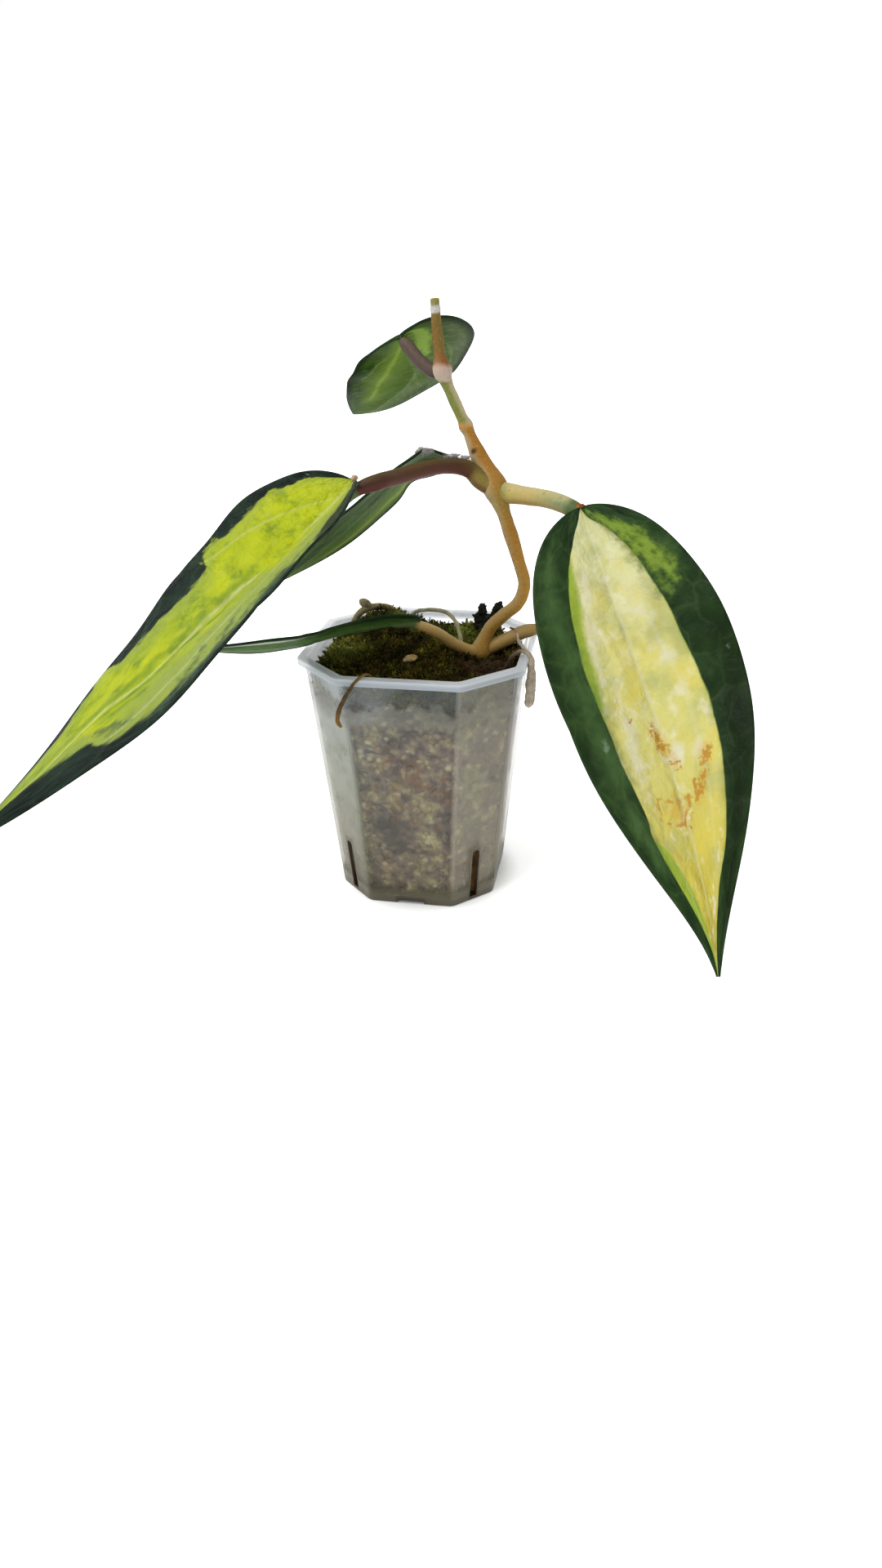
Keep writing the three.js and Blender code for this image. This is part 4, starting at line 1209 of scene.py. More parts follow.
def leaf_skin(name, leaf, look):
    """The waxy cuticle of a hoya leaf's upper face. The pale middle is bounded on each side by a curve
    along the blade, and fine nerves show lighter in the green and in the cream."""
    material, tree = start_material(name)
    x, across, along, flat = blade_places(tree, leaf)
    size = add(tree, "Math", [across], "ABSOLUTE")
    left_side = add(tree, "Math", [across, 0], "GREATER_THAN")
    streaks = add(tree, "VectorMath", [flat, look["rag_size"]], "DIVIDE")
    ragged = add(tree, "TexNoise", [streaks, 1, 4, 0.55])
    shift = add(tree, "MapRange", [ragged, 0.3, 0.7, -look["rag"], look["rag"]])
    wide = add(tree, "Math", [size, shift], "ADD")
    bounds = [add(tree, "FloatCurve", [1, along], points=look[side])
              for side in ("right_edge", "left_edge")]
    limit = add(tree, "Mix", [left_side, *bounds], data_type="FLOAT")
    inside = add(tree, "Math", [limit, wide], "SUBTRACT")
    softness = add(tree, "Mix", [left_side, *look["soft"]], data_type="FLOAT")
    hard = add(tree, "Math", [inside, softness], "DIVIDE")
    pale = add(tree, "MapRange", [hard, -0.5, 0.5], interpolation_type="SMOOTHSTEP")

    # The pale middle: a colour along the blade under clouds of others.
    middle = add(tree, "ValToRGB", [along], stops=look["middle"])
    for number, (code, size_mm, low, high, most) in enumerate(look["clouds"]):
        moved = add(tree, "VectorMath", [flat, (13.0 * number, 7, number)], "ADD")
        cloud = add(tree, "TexNoise", [moved, 1 / size_mm, 4, 0.6])
        middle = add_layers(tree, middle, (cloud, low, high, 0, most, code))
    middle = add_marks(tree, middle, flat, [m for m in look["marks"] if m["under"]])
    # A greener strip inside one or both edges of it.
    strips = [add(tree, "FloatCurve", [1, along], points=look[side])
              for side in ("right_strip", "left_strip")]
    strip_width = add(tree, "Mix", [left_side, *strips], data_type="FLOAT")
    tatter = add(tree, "TexNoise", [flat, 0.45, 3, 0.6])
    fray = add(tree, "MapRange", [tatter, 0.3, 0.7, -look["fray"], look["fray"]])
    frayed = add(tree, "Math", [strip_width, fray], "ADD")
    depth = add(tree, "Math", [frayed, inside], "SUBTRACT")
    soft_strip = look["strip_soft"]
    strip = add(tree, "MapRange", [depth, -soft_strip, soft_strip], interpolation_type="SMOOTHSTEP")
    striped = add(tree, "Mix", [strip, middle, look["strip"]])

    # The green margin, clouded, with fine paler nerve loops.
    bent = add(tree, "TexNoise", [flat, 0.12, 2]).node
    margin_cloud = add(tree, "MapRange", [bent.outputs["Fac"], 0.35, 0.68])
    margin = add(tree, "Mix", [margin_cloud, look["margin"], look["margin_light"]])
    swerve = add(tree, "VectorMath", {"Vector": bent.outputs["Color"], "Scale": 9}, "SCALE")
    swerved = add(tree, "VectorMath", [flat, swerve], "ADD")
    squashed = add(tree, "VectorMath", [swerved, (1 / 7, 1 / 11, 1)], "MULTIPLY")
    cell = add(tree, "TexVoronoi", {"Vector": squashed, "Scale": 1, "Randomness": 0.9},
               feature="DISTANCE_TO_EDGE", voronoi_dimensions="2D")
    nerve = add(tree, "MapRange", [cell, 0, 0.1, look["loops"], 0], interpolation_type="SMOOTHSTEP")
    nerved = add(tree, "Mix", [nerve, margin, look["nerve"]])
    ribbed = add_nerves(tree, striped, x, along, leaf, look["nerves"])
    both = add(tree, "Mix", [pale, nerved, ribbed])
    marked = add_marks(tree, both, flat, [m for m in look["marks"] if not m["under"]])

    cushion = add(tree, "Math", [cell, 0.35], "MINIMUM")
    wavy = add(tree, "TexNoise", {"Vector": flat, "Scale": 0.2, "Detail": 3, "Distortion": 0.5})
    fine = add(tree, "TexNoise", [flat, 0.9, 3])
    grain = add(tree, "Math", [fine, 0.1], "MULTIPLY")
    swell = add(tree, "Math", [wavy, 1.5], "MULTIPLY")
    rough_height = add(tree, "Math", [cushion, grain], "ADD")
    height = add(tree, "Math", [rough_height, swell], "ADD")
    rough = add(tree, "MapRange", [fine, 0.3, 0.7, 0.4, 0.52])
    finish_material(tree, marked, height=height, bump=look["bump"], depth=1.8, Roughness=rough,
                    Specular_IOR_Level=0.06)
    return material


def leaf_underside(name, leaf, look):
    """The matt, paler lower face of a hoya leaf, with a raised midrib and slanting side veins that
    show as pale lines."""
    material, tree = start_material(name)
    x, across, along, flat = blade_places(tree, leaf)
    size = add(tree, "Math", [across], "ABSOLUTE")
    cloud = add(tree, "TexNoise", [flat, 1 / 8, 5, 0.65])
    jitter = add(tree, "MapRange", [cloud, 0.3, 0.7, -0.12, 0.12])
    ragged = add(tree, "Math", [across, jitter], "ADD")
    centre = add(tree, "Math", [ragged, look["stripe_at"]], "SUBTRACT")
    off = add(tree, "Math", [centre], "ABSOLUTE")
    half, soft = look["stripe_half"], look["stripe_soft"]
    stripe = add(tree, "MapRange", [off, half - soft, half + soft, 0.85, 0],
                 interpolation_type="SMOOTHSTEP")
    body = add(tree, "MapRange", [cloud, 0.38, 0.62])
    green = add(tree, "Mix", [body, look["green"], look["green_light"]])
    striped = add(tree, "Mix", [stripe, green, look["stripe"]])
    # Side veins climb towards the tip as they leave the midrib.
    parts = add(tree, "SeparateXYZ", [flat]).node.outputs
    out_mm = add(tree, "Math", [parts["X"]], "ABSOLUTE")
    rise = add(tree, "Math", [out_mm, 0.9], "MULTIPLY")
    start = add(tree, "Math", [parts["Y"], rise], "SUBTRACT")
    wander = add(tree, "MapRange", [cloud, 0.3, 0.7, -2.6, 2.6])
    bent = add(tree, "Math", [start, wander], "ADD")
    slants = add(tree, "Math", [bent, 1.7], "PINGPONG")
    side_vein = add(tree, "MapRange", [slants, 0, 0.45, look["veins"], 0])
    veined = add(tree, "Mix", [side_vein, striped, look["nerve"]])
    nerved = add_nerves(tree, veined, x, along, leaf, look["nerves"])
    marked = add_marks(tree, nerved, flat, look["marks"])
    rimmed = add_layers(tree, marked, (size, 0.84, 0.97, 0, 0.9, look["rim"]))
    fine = add(tree, "TexNoise", [flat, 1.1, 3])
    height = add(tree, "Math", [side_vein, fine], "ADD")
    finish_material(tree, rimmed, height=height, Roughness=0.6, Specular_IOR_Level=0.05)
    return material


def dry_root(name, stops, scale):
    """The dry, fibrous skin of an aerial root, with a colour of its own along it."""
    material, tree = start_material(name)
    place = mm_place(tree)
    share = add(tree, "Attribute", attribute_name="share").node.outputs["Fac"]
    base = add(tree, "ValToRGB", [share], stops=stops)
    grain = add(tree, "TexNoise", [place, scale, 4, 0.7])
    dark = add(tree, "MapRange", [grain, 0.3, 0.7, 0.55, 1.15])
    colour = add(tree, "VectorMath", {"Vector": base, "Scale": dark}, "SCALE")
    finish_material(tree, colour, height=grain, bump=0.7, Roughness=0.85, Specular_IOR_Level=0.1)
    return material


def crumbly(name, dark, pale, size):
    """A dry, matt stuff of two colours in grains: wood, soil, scale or fluff."""
    material, tree = start_material(name)
    grain = add(tree, "TexNoise", [mm_place(tree), 1 / size, 5, 0.65])
    share = add(tree, "MapRange", [grain, 0.35, 0.65])
    colour = add(tree, "Mix", [share, dark, pale])
    finish_material(tree, colour, height=grain, bump=0.8, Roughness=0.85, Specular_IOR_Level=0.1)
    return material


# What each leaf's faces look like. Edges and strips are curves of place along the blade, from base to
# tip, against place across it, as shares of the half width. Soft is the width of the change from pale to
# green on the right and the left half. Clouds are a colour, a size in millimetres, the noise between
# which the cloud grows, and its greatest share. Nerves are places along and across, a width, a strength
# and a colour. A mark's strokes are places across and along with a radius in millimetres.

def mark(name, colour, strokes, soft=1, ragged=1, grain=3, most=0.8, under=False, halo=None):
    """A mark on a leaf. One that is under lies below the strips and nerves of the pale middle."""
    return {"name": name, "colour": colour, "strokes": strokes, "soft": soft, "ragged": ragged,
            "grain": grain, "most": most, "under": under, "halo": halo}


CREAM_LOOK = {
    "left_edge": [(0, 0.05), (0.032, 0.15), (0.138, 0.41), (0.202, 0.49), (0.287, 0.55), (0.355, 0.58),
                  (0.493, 0.58), (0.567, 0.57), (0.658, 0.55), (0.74, 0.62), (0.797, 0.6), (0.88, 0.5),
                  (0.95, 0.3), (1, 0.1)],
    "right_edge": [(0, 0.03), (0.027, 0.08), (0.117, 0.39), (0.183, 0.46), (0.247, 0.48), (0.308, 0.51),
                   (0.38, 0.52), (0.458, 0.56), (0.567, 0.6), (0.697, 0.62), (0.752, 0.62), (0.805, 0.53),
                   (0.86, 0.43), (0.93, 0.3), (1, 0.15)],
    "left_strip": [(0, -0.06), (0.12, -0.04), (0.18, 0.06), (0.262, 0.13), (0.348, 0.1), (0.415, 0.1),
                   (0.488, 0.02), (0.54, -0.08), (0.7, -0.08), (0.75, 0.14), (0.85, 0.26), (0.9, 0.2),
                   (1, 0.1)],
    "right_strip": [(0, -0.1), (1, -0.1)],
    "nerves": [
        ([(0, 0), (1, 0)], 0.9, 0.35, "#eceacc"),
        ([(0, 0), (0.1, -0.06), (0.3, -0.25), (0.5, -0.36), (1, -0.4)], 0.9, 0.18, "#ecebd0"),
        ([(0, 0), (0.1, 0.06), (0.3, 0.25), (0.5, 0.34), (1, 0.4)], 0.9, 0.15, "#ecebd0"),
    ],
    "middle": [(0, "#b4bc6c"), (0.04, "#dadd9c"), (0.12, "#eaebb0"), (0.25, "#efecaa"),
               (0.4, "#ebe68c"), (0.6, "#e9e184"), (0.75, "#dccf60"), (0.86, "#cfc04a"),
               (0.93, "#c4b840"), (0.97, "#98973a"), (1, "#6f7430")],
    "clouds": [("#f0e068", 8, 0.5, 0.66, 0.6), ("#c4c87e", 11, 0.5, 0.66, 0.75),
               ("#fbf6cc", 5, 0.54, 0.68, 0.75), ("#d9cf7a", 2.5, 0.58, 0.7, 0.2)],
    "marks": [
        mark("olive", "#b4b76e", [[(-0.43, 0.263, 2), (-0.43, 0.34, 3), (-0.5, 0.405, 3)],
                                  [(-0.3, 0.363, 3)], [(-0.06, 0.363, 1.5)], [(0.05, 0.14, 2)]],
             soft=2.4, ragged=1.6, grain=6, most=0.6, under=True),
        mark("yellow", "#f0dc5a", [
            [(0.15, 0.24, 2), (0.15, 0.27, 2)], [(0.19, 0.36, 1.5)], [(0.08, 0.415, 2)],
            [(-0.38, 0.453, 2.5)], [(0.23, 0.463, 2)], [(-0.31, 0.698, 4), (-0.16, 0.753, 3)],
            [(0.19, 0.69, 2)], [(0.28, 0.807, 2)]], soft=2.6, ragged=1.6, grain=5, most=0.45, under=True),
        mark("white", "#f6f1d2", [
            [(-0.1, 0.588, 2.2)], [(-0.38, 0.585, 1.8)], [(0.28, 0.2, 0.6), (0.38, 0.3, 0.8),
                                                         (0.44, 0.42, 0.8)],
            [(-0.29, 0.41, 1.8)], [(0.34, 0.512, 1.5), (0.4, 0.6, 1)], [(-0.1, 0.3, 1), (-0.3, 0.32, 1)]],
             soft=1.5, ragged=1.2, grain=4, most=0.7, under=True),
        # Painted sheen: a lighter green along the left margin, where the waxy skin catches the light.
        mark("margin_glow", "#52723e", [[(0.8, 0.12, 1.5), (0.72, 0.3, 2), (0.7, 0.45, 2), (0.74, 0.76, 2)],
                                        [(-0.85, 0.2, 1)]], soft=5, ragged=3, grain=9, most=0.85),
        mark("margin_deep", "#101f08", [[(-0.9, 0.4, 3), (-0.85, 0.6, 4), (-0.8, 0.85, 3)]],
             soft=5, ragged=2, grain=9, most=0.8),
        mark("lime_patch", "#8aa63a", [
            [(-0.22, 0.025, 0.6), (-0.4, 0.07, 1.6), (-0.54, 0.115, 2.8), (-0.62, 0.165, 3.4),
             (-0.65, 0.205, 3.4), (-0.71, 0.24, 2.2), (-0.7, 0.265, 1)], [(-0.6, 0.285, 0.6)]],
             soft=2.2, ragged=1.7, grain=3, most=0.95, halo=("#3f5c28", 4, 0.7)),
        mark("patch_dark", "#3f5f24", [[(-0.5, 0.12, 0.3), (-0.62, 0.175, 0.5)], [(-0.68, 0.21, 0.4)],
                                       [(-0.75, 0.235, 0.5)]], soft=1.2, ragged=1.6, grain=2, most=0.7),
        mark("flecks", "#9db79a", [[(0.66, 0.535, 0.7), (0.68, 0.548, 0.4)], [(-0.9, 0.435, 0.3)]],
             soft=0.5, ragged=0.6, grain=1.5, most=0.5),
        mark("stained", "#dfb648", [
            [(0.06, 0.53, 1.2), (0.02, 0.575, 1.2)], [(-0.05, 0.6, 1)], [(-0.42, 0.6, 1.8)],
            [(-0.38, 0.635, 1.2), (-0.25, 0.665, 2)], [(0.1, 0.685, 3)]],
             soft=1.6, ragged=1.2, grain=3, most=0.6),
        mark("scars", "#cc9434", [
            [(0.09, 0.528, 0.5), (0.05, 0.555, 0.8), (0.06, 0.575, 0.5)],
            [(0.02, 0.563, 0.4), (-0.03, 0.573, 0.4)],
            [(-0.01, 0.6, 0.5), (-0.1, 0.605, 0.7)],
            [(-0.36, 0.61, 0.5), (-0.44, 0.597, 0.9), (-0.49, 0.592, 0.5)],
            [(-0.35, 0.613, 0.3), (-0.45, 0.608, 0.5)],
            [(-0.4, 0.63, 0.4), (-0.35, 0.637, 0.6), (-0.3, 0.645, 0.8), (-0.27, 0.658, 0.9),
             (-0.2, 0.666, 0.7)], [(-0.23, 0.64, 0.4), (-0.23, 0.66, 0.4)],
            [(-0.08, 0.698, 0.4)], [(-0.04, 0.717, 0.4)], [(0.28, 0.508, 0.4)]],
             soft=0.45, ragged=1.1, grain=1.2, most=0.9),
        mark("scar_ring", "#d29e40", [
            [(0.29, 0.652, 0.3), (0.23, 0.66, 0.3), (0.06, 0.667, 0.3), (-0.12, 0.663, 0.5),
             (-0.1, 0.677, 0.4), (-0.01, 0.688, 0.3), (0.05, 0.71, 0.4), (0.26, 0.703, 0.3),
             (0.38, 0.693, 0.2), (0.33, 0.675, 0.3), (0.34, 0.662, 0.3), (0.29, 0.652, 0.3)]],
             soft=0.35, ragged=0.35, grain=1.5, most=0.95),
        mark("tip_lines", "#6f7430", [[(0, 0.9, 0.1), (0, 0.99, 0.3)], [(-0.2, 0.9, 0),
                                                                          (-0.1, 0.97, 0.2)]],
             soft=0.5, ragged=0.2, grain=3, most=0.8),
    ],
    "strip": "#a9c044", "strip_soft": 0.045, "fray": 0.012, "margin": "#1d3217", "margin_light": "#2e4a22",
    "nerve": "#6f8f50", "loops": 0.1, "rag": 0.012, "rag_size": (5, 9, 1), "soft": (0.025, 0.02),
    "bump": 0.4,
}
LIME_LOOK = {
    # The left edge is the upper one as the leaf hangs.
    "left_edge": [(0, 0.1), (0.053, 0.63), (0.12, 0.77), (0.247, 0.82), (0.352, 0.77), (0.38, 0.87),
                  (0.402, 0.95), (0.448, 0.8), (0.47, 0.66), (0.53, 0.64), (0.608, 0.72), (0.705, 0.8),
                  (0.73, 1), (0.762, 0.98), (0.812, 0.84), (0.867, 0.78), (0.95, 0.7), (1, 0.5)],
    "right_edge": [(0, 0.1), (0.078, 0.66), (0.188, 0.62), (0.292, 0.78), (0.373, 0.98), (0.423, 0.8),
                   (0.455, 0.84), (0.52, 0.94), (0.577, 0.86), (0.613, 0.9), (0.658, 0.81),
                   (0.77, 0.78), (0.81, 0.4), (0.853, 0.22), (0.895, 0.09), (0.945, 0), (1, 0)],
    "left_strip": [(0, 0.02), (0.45, 0.05), (0.6, 0.12), (0.8, 0.05), (1, 0)],
    "right_strip": [(0, 0.15), (0.2, 0.35), (0.4, 0.6), (0.6, 0.65), (0.8, 0.35), (1, 0.1)],
    "nerves": [
        ([(0, 0), (0.2, 0), (0.367, -0.03), (0.473, 0.04), (0.555, 0.04), (0.632, -0.01), (0.683, -0.05),
          (0.74, 0.05), (0.79, 0.11), (0.83, 0.07), (0.87, 0.01), (1, 0)], 1.1, 0.85, "#dfe79a"),
        ([(0, 0), (0.1, 0.06), (0.167, 0.24), (0.268, 0.47), (0.35, 0.61), (0.415, 0.7), (0.455, 0.78),
          (0.6, 0.9), (1, 0.95)], 0.8, 0.6, "#d3df7c"),
        ([(0, -0.02), (0.2, -0.25), (0.4, -0.42), (0.6, -0.55), (1, -0.7)], 0.9, 0.4, "#dfe6b8"),
    ],
    "middle": [(0, "#bfcd46"), (0.12, "#cedc26"), (0.35, "#c0ce18"), (0.5, "#b1c52a"),
               (0.7, "#b4c81c"), (0.85, "#acc22a"), (0.93, "#93ae30"), (1, "#6f9032")],
    "clouds": [("#d6e018", 12, 0.48, 0.64, 0.85), ("#86a022", 6, 0.52, 0.68, 0.7),
               ("#c2cf5c", 4, 0.58, 0.72, 0.5), ("#e2e834", 3, 0.6, 0.72, 0.5)],
    "marks": [
        mark("bright", "#d0dc26", [
            [(0.31, 0.382, 3)], [(0.35, 0.472, 3)], [(0.38, 0.138, 4)], [(0.31, 0.625, 2.5)],
            [(0.45, 0.723, 2.5), (0.34, 0.785, 2)]], soft=3.5, ragged=2.5, grain=7, most=0.7, under=True),
        mark("mottles", "#7d9a30", [
            [(0.38, 0.3, 1.5)], [(0.26, 0.44, 1)], [(0.46, 0.542, 2)], [(0.15, 0.543, 1.5)],
            [(0.43, 0.682, 1.5)], [(0.24, 0.733, 1)], [(0.5, 0.818, 1.5)], [(0.3, 0.58, 1)]],
             soft=1.6, ragged=2.4, grain=3.5, most=0.7, under=True),
        mark("band", "#7d9c2a", [
            [(0.12, 0.4, 0.4), (0.1, 0.5, 1), (0.12, 0.58, 1.4), (0.1, 0.66, 1.6), (0.14, 0.73, 1.4),
             (0.24, 0.8, 1.2), (0.2, 0.88, 0.6)]], soft=1.8, ragged=1.2, grain=5, most=0.7),
        mark("streak", "#56802a", [
            [(-0.12, 0.5, 0.1), (-0.08, 0.58, 0.5), (-0.1, 0.64, 0.7), (-0.14, 0.68, 0.7),
             (-0.06, 0.73, 0.6), (0, 0.77, 0.3)], [(-0.25, 0.7, 0.3), (-0.15, 0.76, 0.6)]],
             soft=1.2, ragged=0.9, grain=4, most=0.6),
        mark("brushed", "#405c44", [
            [(-0.68, 0.4, 0.6), (-0.87, 0.49, 1.4)], [(-0.64, 0.52, 0.5), (-0.78, 0.568, 1.4)],
            [(-0.6, 0.6, 0.5), (-0.78, 0.65, 1.4)], [(-0.3, 0.79, 0.8), (-0.55, 0.76, 1.6)],
            [(-0.85, 0.3, 0.8), (-0.9, 0.55, 1), (-0.85, 0.7, 1)]],
             soft=1.8, ragged=1.8, grain=2.5, most=0.7),
        mark("spike", "#b6ca36", [[(0.69, 0.445, 0.6), (0.93, 0.466, 0.1)], [(0.76, 0.71, 0.6)]],
             soft=0.4, ragged=0.5, grain=2, most=0.85),
        mark("nick", "#d3dad4", [[(0.84, 0.087, 0.1), (0.97, 0.094, 0.1)]],
             soft=0.35, ragged=0.2, grain=2, most=0.9),
    ],
    "strip": "#a6b950", "strip_soft": 0.3, "fray": 0, "margin": "#132019", "margin_light": "#22382a",
    "nerve": "#5c7a58", "loops": 0.08, "rag": 0.07, "rag_size": (3, 8, 1), "soft": (0.16, 0.06),
    "bump": 0.6,
}
PLAIN_LOOK = {
    "left_edge": [(0, 0.1), (0.2, 0.25), (0.5, 0.35), (0.8, 0.2), (1, 0.05)],
    "right_edge": [(0, 0.1), (0.2, 0.3), (0.5, 0.4), (0.8, 0.25), (1, 0.05)],
    "left_strip": [(0, 0.1), (1, 0.1)], "right_strip": [(0, 0.1), (1, 0.1)],
    "nerves": [([(0, 0), (1, 0)], 1, 0.5, "#aab96e"),
               ([(0, 0), (0.3, 0.4), (0.6, 0.65), (1, 0.7)], 0.8, 0.25, "#8fa66a"),
               ([(0, 0), (0.3, -0.4), (0.6, -0.65), (1, -0.7)], 0.8, 0.25, "#8fa66a")],
    "middle": [(0, "#8fa63a"), (0.5, "#a4b83a"), (1, "#7f9a34")],
    "clouds": [("#7f9a30", 9, 0.5, 0.68, 0.7), ("#5f7f30", 5, 0.55, 0.7, 0.6)],
    "marks": [],
    "strip": "#5f7f30", "strip_soft": 0.1, "fray": 0.03, "margin": "#1a2f14", "margin_light": "#28441c",
    "nerve": "#56764a", "loops": 0.2, "rag": 0.06, "rag_size": (3, 7, 1), "soft": (0.06, 0.06),
    "bump": 0.5,
}
SIDE_NERVES = [([(0, 0), (0.3, 0.36), (0.6, 0.55), (1, 0.6)], 0.7, 0.3, "#8fa568"),
               ([(0, 0), (0.3, -0.36), (0.6, -0.55), (1, -0.6)], 0.7, 0.3, "#8fa568")]
UNDER_GREEN = {
    "stripe_at": 0.1, "stripe_half": 0.3, "stripe_soft": 0.2, "green": "#28421a",
    "green_light": "#406026", "stripe": "#6f8f50", "rim": "#1c3016", "nerve": "#8ba85c", "veins": 0.2,
    "nerves": [([(0, 0), (1, 0)], 1.2, 0.6, "#a5b67a"), *SIDE_NERVES], "marks": [],
}
UNDER_TOP = dict(UNDER_GREEN, stripe_at=0, stripe_half=0.5, stripe_soft=0.4, stripe="#557418",
                 green="#26400a", green_light="#3f6014", veins=0.3, nerves=[], marks=[
    mark("grey_side", "#7b8864", [[(0.8, 0.15, 2), (0.85, 0.35, 3), (0.8, 0.5, 2)]], soft=5, ragged=2,
         grain=5, most=0.55),
    mark("glow", "#9cc24a", [[(0.44, 0.035, 2), (0.3, 0.083, 3.4), (0.16, 0.15, 2.6), (0.16, 0.218, 1.4)]],
         soft=2, ragged=1.6, grain=4, most=0.9),
    mark("main_nerve", "#a9c24a", [
        [(-0.2, 0.06, 0.2), (-0.3, 0.13, 0.3), (-0.4, 0.243, 0.4), (-0.45, 0.36, 0.5), (-0.46, 0.48, 0.5),
         (-0.45, 0.59, 0.4), (-0.43, 0.683, 0.2)]], soft=1, ragged=0.3, grain=3, most=0.85,
         halo=("#7d9f2c", 6, 0.7)),
    mark("side_nerves", "#8faa58", [
        [(-0.19, 0.1, 0), (-0.1, 0.293, 0.2), (0.1, 0.452, 0.2), (0.4, 0.56, 0)],
        [(0.1, 0.05, 0), (0.5, 0.2, 0.2), (0.7, 0.4, 0.2), (0.75, 0.6, 0)],
        [(-0.3, 0.1, 0), (-0.65, 0.25, 0.2), (-0.8, 0.45, 0.2)]], soft=0.8, ragged=0.3, grain=3, most=0.65),
])
UNDER_BACK = dict(UNDER_GREEN, stripe_at=0.5, stripe_half=0.3, stripe_soft=0.3, stripe="#688a38",
                  green="#35521c", green_light="#547832", veins=0.3, nerves=SIDE_NERVES, marks=[
    mark("edge_stripe", "#b6c650", [[(0.74, 0.36, 0.3), (0.78, 0.46, 0.7), (0.66, 0.6, 0.6),
                                     (0.7, 0.7, 0.5), (0.7, 0.85, 0.3)]], soft=0.8, ragged=0.4, grain=4,
         most=0.9, halo=("#86a63e", 4, 0.7)),
    mark("parallels", "#93a86c", [
        [(0.1, 0.2, 0), (0.4, 0.45, 0.1), (0.45, 0.7, 0.1)], [(-0.1, 0.25, 0), (0.1, 0.5, 0.1),
                                                             (0.15, 0.75, 0.1)],
        [(0.5, 0.3, 0), (0.6, 0.5, 0.1), (0.58, 0.7, 0.1)]], soft=0.5, ragged=0.2, grain=3, most=0.6),
    mark("brown_edge", "#4a3a22", [[(-0.9, 0.2, 1), (-0.95, 0.33, 1.2)], [(-0.4, 0.13, 1)]],
         soft=1, ragged=1, grain=2, most=0.7),
])
UNDER_LOW = dict(UNDER_GREEN, stripe_at=0.2, stripe_half=0.5, stripe_soft=0.5, stripe="#5f8442",
                 nerves=[], marks=[
    mark("pale_band", "#cfdcc4", [[(-0.8, 0.58, 0.2), (-0.8, 0.7, 1.4), (-0.8, 0.8, 1.8), (-0.9, 0.92, 1)]],
         soft=1.2, ragged=0.4, grain=4, most=0.85),
    mark("lower_light", "#8fb26c", [[(0.7, 0.04, 1), (0.6, 0.15, 1.8), (0.85, 0.26, 1.8), (0.95, 0.45, 1.4),
                                     (0.95, 0.6, 0.8)]], soft=1.8, ragged=0.5, grain=4, most=0.9),
    mark("upper_dark", "#1b3012", [[(-0.8, 0.05, 2), (-0.85, 0.2, 2.4), (-0.8, 0.35, 1.6), (-0.5, 0.5, 0.6)],
                                   [(0.8, 0.6, 1.6), (0.8, 0.9, 1.6)]],
         soft=1.2, ragged=0.4, grain=4, most=0.85),
])
UNDER_PALE = dict(UNDER_GREEN, stripe_at=0, stripe_half=0.55, stripe_soft=0.05, stripe="#b4b46e")
UNDER_LIME = dict(UNDER_GREEN, stripe_at=0, stripe_half=0.7, stripe_soft=0.12, stripe="#98ac48")


# Settings

def colour_setting(title, note, code):
    return bpy.props.FloatVectorProperty(name=title, description=note, subtype="COLOR", size=3,
                                         min=0, max=1, default=linear(code))


def number_setting(title, note, value):
    return bpy.props.FloatProperty(name=title, description=note, default=value, min=0)


def count_setting(title, note, value):
    return bpy.props.IntProperty(name=title, description=note, default=value, min=0)


def length_setting(title, note, value):
    return bpy.props.FloatProperty(name=title, description=note, default=value * MM, min=0,
                                   unit="LENGTH", precision=4)


class HoyaPotSettings(bpy.types.PropertyGroup):
    """Sizes and colour of the nursery pot."""
    height: length_setting("Height", "From the underside to the top of the lip", 75)
    base_half: length_setting("Base half width", "Half the width across flats at the bottom", 23.4)
    mouth_half: length_setting("Mouth half width", "Half the width across flats under the lip", 30.6)
    lip_half: length_setting("Lip half width", "Half the width across flats round the lip", 32.5)
    lip_height: length_setting("Lip height", "Height of the lip's outer face", 2.2)
    wall: length_setting("Wall", "Thickness of the wall", 0.9)
    plastic: colour_setting("Plastic", "Colour of the lip's milky face", "#bcc5ce")


class HoyaMixSettings(bpy.types.PropertyGroup):
    """The potting mix and the moss."""
    chips: count_setting("Chips", "Chips to a square metre of wall", 150000)
    chip_size: length_setting("Chip size", "Half the length of the largest chips", 2.2)
    shoots: count_setting("Shoots", "Moss shoots to a square metre", 1500000)
    shoot_size: length_setting("Shoot size", "Height of the largest moss shoots", 2.1)
    moss_inset: length_setting("Moss inset", "Gap between the moss and the wall", 1.8)
    seed: count_setting("Seed", "Seed for the random places of chips, shoots and crumbs", 7)


class HoyaPlantSettings(bpy.types.PropertyGroup):
    """Sizes and details of the leaves and the stem."""
    thickness: length_setting("Leaf thickness", "Thickness of a blade at its midrib", 1.3)
    margin: length_setting("Margin thickness", "Thickness of a blade at its edge", 0.7)
    quilt: length_setting("Quilting", "Height of the cushions between the nerves", 0.35)
    bark_relief: length_setting("Bark relief", "Height of the lumps on the stem", 0.3)


class HoyaStageSettings(bpy.types.PropertyGroup):
    """Floor, light and camera."""
    floor: colour_setting("Floor", "Colour of the floor", "#fcfcfd")
    sky: number_setting("Sky", "Strength of the even light", 1.0)
    key: number_setting("Key", "Strength of the soft light from the left", 2.4)
    glow: number_setting("Glow", "Strength of the floor's own light", 0.4)
    lens: bpy.props.FloatProperty(name="Lens", description="Focal length in millimetres",
                                  default=27.04, min=1)


# Operators

class HOYA_OT_pot(bpy.types.Operator):
    """Build the milky pot with its lip, slots and channels"""
    bl_idname = "hoya.pot"
    bl_label = "Pot"

    def execute(self, context):
        pot = context.scene.hoya_pot
        put_piece("pot_shell", make_pot_mesh(pot, milky_polypropylene(pot)), "pot_plastic", "pot")
        return {"FINISHED"}


